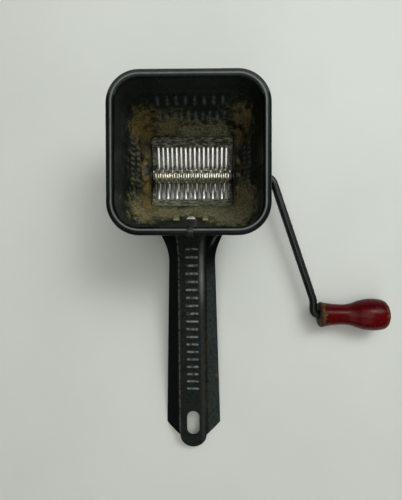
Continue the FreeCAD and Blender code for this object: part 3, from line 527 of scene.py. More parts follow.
@dataclass(frozen=True)
class BlackPaint:
    """Old stoving paint on sheet steel, worn, dusty and stained by food where grades say so; the dust and
    polish grades also carry painted light, painted sheen and painted highlights.
    """

    name: str
    deep: Colour = (0.0010, 0.0024, 0.0019)
    dusty: Colour = (0.0062, 0.0112, 0.0094)
    # colour of real dust specks, and of painted light and painted sheen where the dust grade covers lit faces
    dust: Colour = (0.0265, 0.0360, 0.0300)
    # colour of worn metal, also used for painted highlights on crests and creases
    rubbed: Colour = (0.150, 0.162, 0.156)
    stain: Colour = (0.276, 0.274, 0.162)
    stain_deep: Colour = (0.044, 0.043, 0.023)
    ochre: Colour = (0.205, 0.142, 0.036)
    ochre_deep: Colour = (0.064, 0.047, 0.012)
    rust: Colour = (0.150, 0.088, 0.030)
    roughness: float = 0.32
    sheen: float = 0.06

    def worn(self, tree: Tree) -> bpy.types.NodeSocket:
        """Colour of the paint with its dust and wear, and with painted light, painted sheen and painted
        highlights.

        Args:
            tree: Node tree of the material.

        Returns:
            Colour before any stain.
        """
        film = tree.fade(tree.noise(90.0, 5.0), 0.35, 0.75)
        colour = tree.blend(film, self.deep, self.dusty)
        specks = tree.fade(tree.noise(2600.0, 2.0, shift=3.1), 0.62, 0.74)
        colour = tree.blend(tree.sum_of("MULTIPLY", specks, 0.35), colour, self.dust)
        # graded dust: real dust, and painted light and painted sheen on lit faces
        veil = tree.fade(tree.noise(700.0, 5.0, shift=6.6), 0.25, 0.75, 0.35, 1.0)
        colour = tree.blend(tree.sum_of("MULTIPLY", tree.graded("dust"), veil), colour, self.dust)
        chips = tree.fade(tree.noise(620.0, 5.0, shift=7.7), 0.30, 0.62)
        bare = tree.sum_of("MULTIPLY", tree.graded("rubbed"), chips)
        # graded polish: worn bright metal, and painted highlights on crests and creases
        thin = tree.fade(tree.noise(260.0, 4.0, shift=8.8), 0.25, 0.75, 0.72, 1.0)
        bare = tree.sum_of("MAXIMUM", bare, tree.sum_of("MULTIPLY", tree.graded("polish_and_highlight"), thin))
        return tree.blend(bare, colour, self.rubbed)

    def crust(self, tree: Tree) -> bpy.types.NodeSocket:
        """Colour of dried food, grey-olive or brown where the grade brown says so.

        Args:
            tree: Node tree of the material.

        Returns:
            Speckled colour.
        """
        grain = tree.fade(tree.noise(1500.0, 5.0, shift=5.3, rough=0.55), 0.30, 0.70)
        olive = tree.blend(grain, self.stain_deep, self.stain)
        return tree.blend(tree.graded("brown"), olive, tree.blend(grain, self.ochre_deep, self.ochre))

    def make(self) -> bpy.types.Material:
        """Build the material.

        Returns:
            Paint that reads its grades: dust with painted light and sheen, wear, worn metal with painted
                highlights, food, brown food and rust.
        """
        tree = Tree(self.name)
        clots = tree.noise(360.0, 6.0, shift=1.9, rough=0.60)
        patch = tree.sum_of("ADD", tree.graded("grime_and_shade"), tree.fade(clots, 0.28, 0.72, -0.36, 0.36))
        caked = tree.sum_of("MULTIPLY", tree.fade(patch, 0.06, 0.90),
                            tree.fade(tree.graded("grime_and_shade"), 0.02, 0.25))
        colour = tree.blend(tree.sum_of("MULTIPLY", caked, 0.95), self.worn(tree), self.crust(tree))
        bloom = tree.sum_of("MULTIPLY", tree.graded("rusty"), tree.fade(clots, 0.38, 0.62))
        colour = tree.blend(bloom, colour, self.rust)
        cloud = tree.noise(240.0, 4.0, shift=9.2)
        gloss = tree.fade(cloud, 0.3, 0.7, self.roughness - 0.06, self.roughness + 0.08)
        dull = tree.sum_of("ADD", gloss, tree.sum_of("MULTIPLY", caked, 0.35))
        dents = tree.bump(tree.noise(160.0, 2.0, shift=2.4), 0.20, 0.25)
        peel = tree.bump(tree.noise(1900.0, 3.0, shift=4.6), 0.04, 0.40, dents)
        rough_cake = tree.bump(tree.sum_of("MULTIPLY", clots, caked), 0.22, 0.8, peel)
        return tree.surface(base_color=colour, roughness=dull, specular_ior_level=self.sheen,
                            normal=rough_cake)


@dataclass(frozen=True)
class BareSteel:
    """Steel without paint: bright where it rubs, browned and silted where juice dries on it, and darker where
    grades and rings paint shade.
    """

    name: str
    bright: Colour = (0.78, 0.79, 0.77)
    clouded: Colour = (0.62, 0.62, 0.59)
    browned: Colour = (0.040, 0.038, 0.024)
    silt: Colour = (0.240, 0.242, 0.165)
    # dull colour, also painted shade on the grate's near bars
    dulled_and_shaded: Colour = (0.235, 0.237, 0.210)
    roughness: float = 0.30
    brown_from: float = 0.64
    metallic: float = 1.0
    brush: Point = (1.0, 1.0, 1.0)
    smear: Point = (1.0, 1.0, 1.0)
    # rings of painted shade across the spacers, between their bright dots
    shade_ring_pitch: float = 0.0
    shade_ring_start: float = 0.0

    def make(self) -> bpy.types.Material:
        """Build the material.

        Returns:
            Steel that reads its grades of grime with painted shade, dullness with painted shade, and matt, or
            has rings of painted shade at a pitch.
        """
        tree = Tree(self.name)
        cloud = tree.fade(tree.noise(260.0, 5.0), 0.32, 0.70)
        # graded dull: painted shade on the grate's near bars, and a light dullness on every other bar
        colour = tree.blend(tree.graded("dull"), tree.blend(cloud, self.bright, self.clouded), self.dulled_and_shaded)
        spots = tree.noise(700.0, 6.0, stretch=self.smear, shift=3.3, rough=0.65)
        # graded grime: dirt and painted shade; with a pitch, rings of painted shade instead
        grime_and_shade = tree.graded("grime_and_shade")
        if self.shade_ring_pitch:
            grime_and_shade = tree.fade(tree.stripes(self.shade_ring_pitch, self.shade_ring_start), 0.35, 0.95, 0.0, 0.55)
        brown = tree.fade(tree.sum_of("ADD", spots, tree.sum_of("MULTIPLY", grime_and_shade, 0.5)),
                          self.brown_from, self.brown_from + 0.16)
        fine = tree.noise(950.0, 5.0, stretch=self.smear, shift=2.7)
        speckle = tree.sum_of("ADD", fine, tree.fade(spots, 0.35, 0.65, -0.20, 0.20))
        speckle = tree.fade(speckle, 0.38, 0.72)
        colour = tree.blend(brown, colour, tree.blend(speckle, self.browned, self.silt))
        streaks = tree.noise(1800.0, 3.0, stretch=self.brush, shift=6.1)
        dull = tree.sum_of("ADD", tree.fade(streaks, 0.3, 0.7, self.roughness - 0.05, self.roughness + 0.07),
                           tree.sum_of("MULTIPLY", brown, 0.35))
        shine = tree.sum_of("MULTIPLY", tree.fade(brown, 0.0, 1.0, self.metallic, 0.10),
                            tree.fade(tree.graded("matt"), 0.0, 1.0, 1.0, 0.20))
        relief = tree.bump(streaks, 0.012, 0.30, tree.bump(spots, 0.03, 0.30))
        return tree.surface(base_color=colour, metallic=shine, roughness=dull, normal=relief)


@dataclass(frozen=True)
class RedLacquer:
    """Deep red lacquer on turned wood, worn to the grain at its two rims."""

    name: str
    red: Colour = (0.090, 0.0010, 0.0018)
    dark: Colour = (0.032, 0.0006, 0.0009)
    wood: Colour = (0.105, 0.062, 0.022)
    wood_dark: Colour = (0.022, 0.013, 0.005)
    roughness: float = 0.22
    sheen: float = 0.10

    def make(self) -> bpy.types.Material:
        """Build the material.

        Returns:
            Lacquer that reads the grade worn.
        """
        tree = Tree(self.name)
        depth = tree.fade(tree.noise(120.0, 5.0, stretch=(0.35, 1.0, 1.0)), 0.3, 0.72)
        colour = tree.blend(depth, self.red, self.dark)
        crackle = tree.fade(tree.noise(1500.0, 4.0, shift=2.2), 0.60, 0.72)
        colour = tree.blend(tree.sum_of("MULTIPLY", crackle, 0.45), colour, self.dark)
        grain = tree.fade(tree.noise(900.0, 5.0, stretch=(0.12, 1.0, 1.0), shift=5.0), 0.3, 0.7)
        timber = tree.blend(grain, self.wood, self.wood_dark)
        flakes = tree.noise(520.0, 6.0, shift=8.4, rough=0.66)
        chipped = tree.sum_of("ADD", tree.graded("worn"), tree.fade(flakes, 0.25, 0.75, -0.52, 0.52))
        bare = tree.fade(chipped, 0.36, 0.66)
        colour = tree.blend(bare, colour, timber)
        dull = tree.sum_of("ADD", tree.fade(flakes, 0.3, 0.7, self.roughness - 0.08, self.roughness + 0.10),
                           tree.sum_of("MULTIPLY", bare, 0.4))
        rings = tree.bump(tree.noise(700.0, 3.0, stretch=(1.0, 0.12, 0.12), shift=1.2), 0.06, 0.5)
        relief = tree.bump(flakes, 0.10, 0.5, rings)
        return tree.surface(base_color=colour, roughness=dull, specular_ior_level=self.sheen, normal=relief)


@dataclass(frozen=True)
class Paper:
    """Pale grey paper under the mill."""

    name: str = "pale_paper"
    pale: Colour = (0.655, 0.685, 0.640)
    shade: Colour = (0.615, 0.645, 0.605)

    def make(self) -> bpy.types.Material:
        """Build the material.

        Returns:
            Matt paper with faint clouds.
        """
        tree = Tree(self.name)
        colour = tree.blend(tree.fade(tree.noise(9.0, 4.0), 0.3, 0.7), self.pale, self.shade)
        fibre = tree.bump(tree.noise(1200.0, 3.0), 0.04, 0.25)
        return tree.surface(base_color=colour, roughness=0.85, specular_ior_level=0.2, normal=fibre)


def dress(item: bpy.types.Object, finish: bpy.types.Material) -> None:
    """Give an object one material."""
    item.data.materials.clear()
    item.data.materials.append(finish)


def show(item: bpy.types.Object, finish: bpy.types.Material, body: Body,
         nodes: Iterable[str] = ()) -> None:
    """Dress a piece, set it on its body and report it.

    Args:
        item: The piece.
        finish: Its material.
        body: Body that it rides on.
        nodes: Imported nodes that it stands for.
    """
    dress(item, finish)
    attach(item, body.value)
    names = list(nodes)
    if names:
        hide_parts(*names)
    LOG.info("%s: %d faces on %s, for %s", item.name, len(item.data.polygons), body.value, names or "itself")


@dataclass(frozen=True)
class Stain:
    """Soft patch of dried food on the hopper's inside."""

    centre: Point
    reach: float
    strength: float
    brown: float = 0.0


@dataclass(frozen=True)
class RibRow:
    """Row of plain upright ribs pressed outwards in one wall of the hopper."""

    wall: Point
    first: float
    last: float
    count: int
    low: float
    high: float
    depth: float = 0.32
    half_width: float = 0.62
    end_ease: float = 0.7
    wall_from: float = 15.0

    def lift(self, points: np.ndarray) -> np.ndarray:
        """Work out how far the ribs push a wall.

        Args:
            points: Points as rows of three.

        Returns:
            Distance along the wall's outward direction, one for each point.
        """
        outward = np.array(self.wall)
        along = points @ np.abs(np.array((outward[1], outward[0], 0.0)))
        spacing = (self.last - self.first) / (self.count - 1)
        nearest = np.clip(np.round((along - self.first) / spacing), 0, self.count - 1)
        across = bell(along - self.first - nearest * spacing, self.half_width)
        window = smooth_step(points[..., 2], self.low - self.end_ease, self.low + self.end_ease)
        above = smooth_step(points[..., 2], self.high - self.end_ease, self.high + self.end_ease)
        return self.depth * across * window * (1.0 - above) * (points @ outward > self.wall_from)


@dataclass(frozen=True)
class HopperWear:
    """How strong dust, wear, food and rust, and painted light, painted shade and painted highlights, are on
    parts of the hopper, from 0 to 1.
    """

    inside_dust: float = 0.25
    # painted light on the far wall, painted sheen on the collar, and painted shade on the right wall where
    # the haze is cut
    far_dust: float = 0.20
    collar_dust: float = 0.60
    right_dust: float = 0.3
    # painted light on the far bead's outer half, and painted fill light on the outer walls
    bead_dust: float = 0.9
    outside_dust: float = 0.40
    # painted highlights along the rolled rim's crest and on the far bead
    crown_highlight: float = 0.05
    crest_highlight: float = 0.93
    far_bead_highlight: float = 0.12
    far_rib_rub: float = 0.75
    side_rib_rub: float = 0.45
    side_rib_brown: float = 0.35
    left_rib_food: float = 0.62
    right_rib_food: float = 0.42
    seam_rub: float = 0.9
    foot_rub: float = 0.7
    spout_corner_rub: float = 0.35
    streak_rust: float = 0.8
    ledge_rust: float = 0.35
    ledge_brown: float = 0.85
    ledge_food: float = 0.5


@dataclass
class Hopper:
    """Pressed hopper: spout, funnel, collar and rolled rim, with bearing cheeks and slots for the handle."""

    throat_half_x: float = THROAT_HALF_X
    throat_half_y: float = THROAT_HALF_Y
    throat_corner: float = THROAT_CORNER
    collar_half: float = 28.6
    collar_corner: float = 9.6
    sheet: float = HOPPER_SHEET
    foot_round: float = 0.2
    spout_top: float = 12.3
    collar_foot: float = 38.5
    shoulder_ease: float = 1.1
    throat_ease: float = 0.5
    curl_height: float = 50.8
    curl_radius: float = 1.7
    curl_crest: float = 1.15
    curl_start: float = -121.0
    curl_steps: int = 14
    crest_steps: int = 41
    axis_y: float = SHAFT_Y
    axis_z: float = SHAFT_Z
    cheek_radius: float = 10.8
    cheek_ease: float = 0.45
    eyelet_hole: float = 2.77
    slot_offset: float = TENON_OFFSET
    slot_width: float = 2.8
    slot_low: float = -1.1
    slot_high: float = 0.1
    slot_out: float = -1.0
    slot_in: float = 3.0
    root_reach: float = ROOT_REACH
    root_height: float = ROOT_HEIGHT
    far_from: float = 8.0
    far_bead_from: float = 22.0
    streak_x: float = 1.4
    streak_lean: float = 0.035
    streak_half: float = 0.42
    side_steps: int = 88
    corner_steps: int = 20
    foot_levels: tuple[float, ...] = (0.3, 0.8, 1.5, 3.0, 6.0, 9.0)
    outer_levels: tuple[LevelRun, ...] = ((12.0, 22.0, 34), (22.5, 40.0, 36), (41.0, 49.3, 5))
    inner_levels: tuple[LevelRun, ...] = ((50.2, 41.0, 5), (40.4, 22.5, 37), (22.0, 12.0, 34), (11.0, 0.3, 8))
    wear: HopperWear = HopperWear()
    ribs: tuple[RibRow, ...] = (
        RibRow(Y_AXIS, -14.0, 14.0, 8, 31.2, 35.6, depth=0.42),
        RibRow(Y_AXIS, -14.0, 15.0, 10, 22.6, 27.6, depth=0.42),
        RibRow(Y_AXIS, -13.5, 13.5, 16, 15.6, 18.4, depth=0.16, half_width=0.5),
        RibRow((-1.0, 0.0, 0.0), -8.5, 9.5, 9, 27.6, 30.6, depth=0.26, half_width=0.5),
        RibRow((-1.0, 0.0, 0.0), -8.5, 8.5, 8, 22.8, 25.6, depth=0.26, half_width=0.5),
        RibRow(X_AXIS, -7.5, 9.5, 9, 27.6, 30.6, depth=0.26, half_width=0.5),
        RibRow(X_AXIS, -7.5, 8.5, 8, 22.8, 25.6, depth=0.26, half_width=0.5),
    )
    stains: tuple[Stain, ...] = (
        Stain((-22.0, 18.0, 26.0), 8.6, 0.82, 0.75), Stain((-20.0, 16.5, 18.0), 6.5, 0.80, 0.8),
        Stain((-20.5, 7.0, 16.0), 6.5, 0.62, 0.7), Stain((-20.5, -9.0, 15.5), 7.0, 0.86, 0.9),
        Stain((-21.0, -17.0, 18.0), 7.0, 1.06, 0.8), Stain((-22.0, -20.5, 26.0), 9.0, 1.02, 0.38),
        Stain((-12.0, -20.0, 21.0), 9.0, 1.06, 0.2), Stain((0.0, -20.0, 19.0), 9.0, 0.92, 0.1),
        Stain((11.0, -20.0, 21.0), 10.0, 1.14, 0.05), Stain((20.5, -20.0, 24.0), 13.0, 1.34, 0.1),
        Stain((20.5, -15.0, 15.0), 5.0, 0.95, 0.7), Stain((22.5, 20.0, 28.0), 9.0, 0.60, 0.6),
        Stain((21.0, 14.0, 18.0), 6.5, 0.70, 0.5), Stain((-12.0, 19.5, 19.0), 8.0, 0.92, 0.5),
        Stain((0.0, 18.5, 15.5), 8.0, 0.98, 0.1), Stain((11.0, 18.5, 16.0), 8.0, 0.92, 0.0),
        Stain((20.5, -4.0, 13.5), 6.0, 0.66, 0.5), Stain((-6.0, 21.0, 23.0), 7.0, 0.58, 0.3),
        Stain((-25.0, 0.0, 27.0), 14.0, 0.22, 0.5), Stain((25.0, -4.0, 24.0), 9.0, 0.22, 0.2),
    )

    def half_sizes(self, height: np.ndarray) -> np.ndarray:
        """Inner half width along X and Y and corner radius at given heights.

        Args:
            height: Heights.

        Returns:
            One row of three for each height.
        """
        rise = self.collar_foot - self.spout_top
        climb = soft_ramp(np.asarray(height) - self.spout_top, self.throat_ease)
        share = (climb - soft_ramp(np.asarray(height) - self.collar_foot, self.shoulder_ease)) / rise
        low = np.array((self.throat_half_x, self.throat_half_y, self.throat_corner))
        high = np.array((self.collar_half, self.collar_half, self.collar_corner))
        return low + share[:, None] * (high - low)

    def ring(self, half_x: float, half_y: float, corner: float) -> np.ndarray:
        """Plan of a rectangle with round corners.

        Args:
            half_x: Half width along X.
            half_y: Half width along Y.
            corner: Corner radius.

        Returns:
            Points counter-clockwise from the lower right, as rows of two.
        """
        parts = []
        flat_x, flat_y = half_x - corner, half_y - corner
        sides = (((half_x, -flat_y), (half_x, flat_y), (flat_x, flat_y), 0.0),
                 ((flat_x, half_y), (-flat_x, half_y), (-flat_x, flat_y), 90.0),
                 ((-half_x, flat_y), (-half_x, -flat_y), (-flat_x, -flat_y), 180.0),
                 ((-flat_x, -half_y), (flat_x, -half_y), (flat_x, -flat_y), 270.0))
        for start, end, centre, angle in sides:
            share = np.linspace(0.0, 1.0, self.side_steps, endpoint=False)[:, None]
            parts.append(np.array(start) * (1.0 - share) + np.array(end) * share)
            turn = np.radians(angle + np.linspace(0.0, 90.0, self.corner_steps, endpoint=False))
            parts.append(np.array(centre) + corner * np.column_stack((np.cos(turn), np.sin(turn))))
        return np.concatenate(parts)

    def levels(self) -> tuple[np.ndarray, np.ndarray]:
        """Heights of the sheet's two faces, round the rim from the outer foot to the inner one.

        Returns:
            Height and outward growth of each level, and whether it belongs to the inner face.
        """
        outer = np.concatenate((self.foot_levels, *(np.linspace(*run) for run in self.outer_levels)))
        inner = np.concatenate([np.linspace(*run) for run in self.inner_levels])
        turn = np.radians(np.concatenate((np.linspace(self.curl_start, 0.0, self.curl_steps),
                                          np.linspace(0.0, 180.0, self.crest_steps)[1:])))
        outer_run = 2 * self.curl_radius - self.curl_crest
        run = np.where(turn < 0.0, self.curl_radius, np.where(np.cos(turn) > 0.0, outer_run, self.curl_crest))
        middle = np.where(turn < 0.0, self.curl_radius, self.curl_crest)
        curl = np.column_stack((self.curl_height + self.curl_radius * np.sin(turn),
                                middle + run * np.cos(turn)))
        foot = np.array(((0.0, self.foot_round), (0.0, self.sheet - self.foot_round)))
        levels = np.concatenate((np.column_stack((outer, np.full(len(outer), self.sheet))), curl,
                                 np.column_stack((inner, np.zeros(len(inner)))), foot))
        inside = np.arange(len(levels)) >= len(outer) + len(curl)
        return levels, inside

    def shell(self) -> np.ndarray:
        """Points of the sheet with its cheeks and ribs.

        Returns:
            Levels by points round the hopper by three.
        """
        levels, inside = self.levels()
        halves = self.half_sizes(np.minimum(levels[:, 0], self.curl_height))
        rows = []
        for (height, grow), (half_x, half_y, corner) in zip(levels, halves):
            plan = self.ring(half_x + grow, half_y + grow, corner + grow)
            rows.append(np.column_stack((plan, np.full(len(plan), height))))
        points = np.stack(rows)
        for row in self.ribs:
            points += row.lift(points)[..., None] * np.array(row.wall)
        wall = np.where(inside, self.throat_half_x, self.throat_half_x + self.sheet)[:, None]
        radius = np.where(inside, self.cheek_radius, self.cheek_radius - self.sheet)[:, None]
        distance = np.hypot(points[..., 1] - self.axis_y, points[..., 2] - self.axis_z)
        share = smooth_step(distance - radius, -self.cheek_ease, self.cheek_ease)
        beyond = np.maximum(np.abs(points[..., 0]) - wall, 0.0)
        points[..., 0] -= np.sign(points[..., 0]) * beyond * (1.0 - share)
        return points

    def wall_axes(self) -> tuple[Point, Point]:
        """Directions up the near wall and into it.

        Returns:
            Up the slope, and square to it into the hopper.
        """
        slope = math.atan2(self.collar_half - self.throat_half_y, self.collar_foot - self.spout_top)
        return (0.0, -math.sin(slope), math.cos(slope)), (0.0, math.cos(slope), math.sin(slope))

    def holes(self) -> bpy.types.Object:
        """Make the tool that bores the bearings and cuts the two slots in the near wall.

        Returns:
            Object that a cut takes away.
        """
        tool = Form("hopper_holes")
        circle = arc_points((0.0, 0.0), self.eyelet_hole, 0.0, 354.0)
        prism(tool, circle, (0.0, self.axis_y, self.axis_z), (Y_AXIS, Z_AXIS, X_AXIS),
              4.0 * self.throat_half_x)
        up, into = self.wall_axes()
        outline = np.array(((self.slot_low, self.slot_out), (self.slot_high, self.slot_out),
                            (self.slot_high, self.slot_in), (self.slot_low, self.slot_in)))
        for side in Side:
            prism(tool, outline, (side.value * self.slot_offset, -self.root_reach, self.root_height),
                  (up, into, X_AXIS), self.slot_width)
        return tool.build()

    def lit_and_dusted(self, points: np.ndarray, inner: np.ndarray) -> np.ndarray:
        """Dust on the inside, with painted light on the far wall, the far bead and the outer walls, painted
        sheen on the collar and painted shade on the right wall.

        Args:
            points: Points of the mesh.
            inner: 1 on the inner face, 0 on the outer one.

        Returns:
            Dust and painted light at each point.
        """
        x, y, z = points.T
        wear = self.wear
        collar = smooth_step(z, self.collar_foot - 3.0, self.collar_foot + 1.0)
        # inner haze: dust, with painted light on the far wall and painted sheen on the collar; cut back on
        # the right wall as painted shade
        haze_and_light = inner * (wear.inside_dust + wear.far_dust * (y > self.far_from) + wear.collar_dust * collar)
        haze_and_light = haze_and_light * np.where(x > self.throat_half_x, wear.right_dust, 1.0)
        return np.maximum.reduce((haze_and_light, wear.bead_dust * self.far_bead(points, inner),
                                  wear.outside_dust * self.outside(points, inner)))

    def far_bead(self, points: np.ndarray, inner: np.ndarray) -> np.ndarray:
        """Share of the rolled rim's outer half on the far side."""
        rise = smooth_step(points[:, 2], self.curl_height, self.curl_height + self.curl_radius)
        return (1.0 - inner) * rise * (points[:, 1] > self.far_bead_from)

    def outside(self, points: np.ndarray, inner: np.ndarray) -> np.ndarray:
        """Whether a point lies on the outer walls below the rolled rim."""
        return (1.0 - inner) * (points[:, 2] < self.curl_height - self.curl_radius)

    def rubbed(self, points: np.ndarray, inner: np.ndarray, relief: np.ndarray) -> np.ndarray:
        """Wear of the paint on ribs, on the edge round the grate, and on the spout's foot and corners.

        Args:
            points: Points of the mesh.
            inner: 1 on the inner face, 0 on the outer one.
            relief: Height of the ribs inside, from 0 to 1.

        Returns:
            Wear at each point.
        """
        x, y, z = points.T
        wear = self.wear
        far = wear.far_rib_rub * relief * (y > 0.0)
        beside = wear.side_rib_rub * relief * (np.abs(x) > self.throat_half_x)
        outer_corner = self.throat_corner + self.sheet
        apex = outer_corner * (1.0 - math.sqrt(0.5))
        corner = np.hypot(np.abs(x) - self.throat_half_x - self.sheet + apex,
                          np.abs(y) - self.throat_half_y - self.sheet + apex)
        spout = self.outside(points, inner) * np.maximum(
            wear.foot_rub * bell(z, 0.5), wear.spout_corner_rub * bell(corner, 0.8) * (z < self.spout_top))
        seam = bell(z - self.spout_top - 0.5, 0.45) * (y > self.throat_half_y - 0.5)
        seam = wear.seam_rub * seam * smooth_step(x, -12.0, 8.0) * inner
        return np.maximum.reduce((far, beside, seam, spout))

    def grades(self, points: np.ndarray, inner: np.ndarray) -> dict[str, np.ndarray]:
        """Where paint is dusty, rubbed, stained and rusty, and where light, shade and highlights are painted.

        Args:
            points: Points of the mesh.
            inner: 1 on the inner face, 0 on the outer one.

        Returns:
            Numbers by the grade's name.
        """
        x, y, z = points.T
        wear = self.wear
        grime_and_shade, brown = np.zeros(len(points)), np.zeros(len(points))
        for stain in self.stains:
            away = np.linalg.norm(points - np.array(stain.centre), axis=1)
            spread = stain.strength * bell(away, stain.reach)
            brown = np.where(spread > grime_and_shade, stain.brown, brown)
            grime_and_shade = np.maximum(grime_and_shade, spread)
        above_grate = smooth_step(z, self.spout_top + 0.1, self.spout_top + 0.9)
        grime_and_shade = grime_and_shade * inner * (z < self.collar_foot) * above_grate
        relief = np.max([row.lift(points) / row.depth for row in self.ribs], axis=0) * inner
        beside = relief * (np.abs(x) > self.throat_half_x)
        caught = beside * np.where(x < 0.0, wear.left_rib_food, wear.right_rib_food)
        ledge = np.hypot(y - self.axis_y, z - self.axis_z) - self.cheek_radius
        arc = bell(ledge - 0.35, 0.45) * (np.abs(x) > self.throat_half_x - 0.5) * inner * (z > self.spout_top)
        drift = x - self.streak_x - self.streak_lean * (self.curl_height - z)
        streak = bell(drift, self.streak_half) * (y < 0.0) * inner * smooth_step(z, 17.0, 22.0)
        # painted highlight along the rolled rim's crest, and a fainter one on the far bead
        crest = self.curl_height + self.curl_radius
        crown = (wear.crown_highlight * smooth_step(z, crest - 0.45, crest)
                 + wear.crest_highlight * smooth_step(z, crest - 0.045, crest))
        return {
            "rubbed": self.rubbed(points, inner, relief),
            "polish_and_highlight": np.maximum(crown, wear.far_bead_highlight * self.far_bead(points, inner)),
            "dust": self.lit_and_dusted(points, inner),
            "brown": np.maximum.reduce((brown, wear.ledge_brown * arc, wear.side_rib_brown * beside)),
            "grime_and_shade": np.maximum.reduce((grime_and_shade, caught, wear.ledge_food * arc)),
            "rusty": np.maximum(wear.streak_rust * streak, wear.ledge_rust * arc * (x < 0.0)),
        }

    def build(self, paint: bpy.types.Material) -> None:
        """Make the hopper and set it on the mill.

        Args:
            paint: Its finish.
        """
        points = self.shell()
        form = Form("hopper_shell")
        form.net(points, loop=True)
        item = form.build(SOFT_CREASE)
        inside = np.repeat(self.levels()[1], points.shape[1]).astype(float)
        grade(item, self.grades(places(item), inside))
        carve(item, self.holes(), SOFT_CREASE)
        show(item, paint, Body.MILL, ["hopper"])


@dataclass
class Grate:
    """Curved tray in the spout, with crowned bars between its slots."""

    half_x: float = THROAT_HALF_X
    half_y: float = THROAT_HALF_Y
    corner: float = THROAT_CORNER
    slot_reach: float = 12.9
    slot_half: float = 0.45
    pitch: float = DISC_PITCH
    slots: int = 17
    bar_steps: int = 8
    band_steps: int = 7
    slot_steps: int = 49
    profile: tuple[tuple[float, float], ...] = (
        (-16.6, 12.3), (-12.9, 6.7), (-1.5, 3.8), (0.8, 3.8), (12.9, 8.28), (16.6, 12.3))
    bend: float = 0.45
    sheet: float = 0.6
    crown: float = 0.06
    crown_power: float = 4.0
    tall_crown: float = 0.20
    tall_power: float = 2.0
    crown_run: float = 1.2
    # half width of the painted highlight line on every other near bar
    highlight_half: float = 0.34
    strip_from: float = 18.0
    # painted light that offsets the rotor's shade on the upper part of the near bars
    rotor_shade_lift: float = 0.20
    least_dull: float = 0.18

    def height(self, y: np.ndarray) -> np.ndarray:
        """Height of the tray's upper face: a flat bottom, two slopes with the slots and two steep bands.

        Args:
            y: Places along Y.

        Returns:
            Heights in the shape of the places.
        """
        knots = np.array(self.profile)
        slopes = np.diff(knots[:, 1]) / np.diff(knots[:, 0])
        rise = knots[0, 1] + slopes[0] * (y - knots[0, 0])
        for place, turn in zip(knots[1:-1, 0], np.diff(slopes)):
            rise = rise + turn * soft_ramp(y - place, self.bend)
        return rise

    def lines(self) -> tuple[np.ndarray, np.ndarray, np.ndarray]:
        """Places of the net's lines along X.

        Returns:
            X of the lines, place of each line across its bar from -1 to 1, and whether each cell is a slot.
        """
        first = -(self.slots - 1) / 2 * self.pitch
        lines, across, open_cells = [-self.half_x], [1.0], []
        for centre in first + self.pitch * np.arange(self.slots):
            if not open_cells:
                lines.append(centre - self.slot_half)
                across.append(1.0)
                open_cells.append(False)
            end = min(centre + self.pitch - self.slot_half, self.half_x)
            bar = np.linspace(centre + self.slot_half, end, self.bar_steps + 1)
            lines.extend(bar)
            across.extend(np.linspace(-1.0, 1.0, len(bar)) if end < self.half_x else np.ones(len(bar)))
            open_cells.extend([True] + [False] * self.bar_steps)
        return np.array(lines), np.array(across), np.array(open_cells)

    def lifts(self, x: np.ndarray, y: np.ndarray, across: np.ndarray) -> np.ndarray:
        """Height of the bars' crowns: low and broad, but tall and narrow on every other near bar.

        Args:
            x: Lines along X.
            y: Lines along Y.
            across: Place of each line along X across its bar.

        Returns:
            Heights, one row for each line along Y.
        """
        tall = self.highlit_bar(x)[None, :] * (y < 0.0)[:, None]
        broad = self.crown * (1.0 - np.abs(across) ** self.crown_power)
        narrow = self.tall_crown * (1.0 - np.abs(across) ** self.tall_power)
        ends = 1.0 - smooth_step(np.abs(y), self.slot_reach - self.crown_run, self.slot_reach)
        return ends[:, None] * np.where(tall, narrow[None, :], broad[None, :])

    def highlit_bar(self, x: np.ndarray) -> np.ndarray:
        """Whether a place along X lies on every other bar, which has a tall crown and a painted highlight
        line.
        """
        return np.floor((x + (self.slots - 1) / 2 * self.pitch) / self.pitch) % 2 == 0

    def rows(self) -> np.ndarray:
        """Places of the net's lines along Y, closer together where the slots are."""
        return np.concatenate((np.linspace(-self.half_y, -self.slot_reach, self.band_steps),
                               np.linspace(-self.slot_reach, self.slot_reach, self.slot_steps)[1:],
                               np.linspace(self.slot_reach, self.half_y, self.band_steps)[1:]))

    def layers(self, x: np.ndarray, y: np.ndarray, across: np.ndarray) -> list[np.ndarray]:
        """Points of the tray's upper and lower face.

        Args:
            x: Lines along X.
            y: Lines along Y.
            across: Place of each line along X across its bar.

        Returns:
            Two arrays, of lines along Y by lines along X by three.
        """
        height = self.height(y)
        slope = np.gradient(height, y)
        into = np.maximum(np.abs(y) - self.half_y + self.corner, 0.0)
        limit = (self.half_x - self.corner + np.sqrt(self.corner ** 2 - into ** 2))[:, None]
        plan_x = np.clip(np.broadcast_to(x, (len(y), len(x))), -limit, limit)
        layers = []
        for lift in (self.lifts(x, y, across), np.full(plan_x.shape, -self.sheet)):
            lean = lift / np.sqrt(1.0 + slope ** 2)[:, None]
            layers.append(np.stack((plan_x, y[:, None] - slope[:, None] * np.minimum(lean, 0.0),
                                    height[:, None] + lean), axis=-1))
        return layers

    def skin(self, form: Form, layers: list[np.ndarray], kept: np.ndarray) -> None:
        """Add both faces of the cells that are metal, and walls between metal and openings.

        Args:
            form: Mesh that they are added to.
            layers: Points of the upper and lower face.
            kept: Whether each cell of the net is metal.
        """
        top, under = (form.add(layer) for layer in layers)
        for row, column in zip(*np.nonzero(kept)):
            ends = ((row, column), (row, column + 1), (row + 1, column + 1), (row + 1, column))
            form.faces.append(tuple(int(top[end]) for end in ends))
            form.faces.append(tuple(int(under[end]) for end in reversed(ends)))
            around = ((row - 1, column), (row, column + 1), (row + 1, column), (row, column - 1))
            for number, cell in enumerate(around):
                within = 0 <= cell[0] < kept.shape[0] and 0 <= cell[1] < kept.shape[1]
                if not (within and kept[cell]):
                    start, end = ends[number], ends[(number + 1) % len(ends)]
                    form.faces.append((int(top[start]), int(under[start]), int(under[end]), int(top[end])))

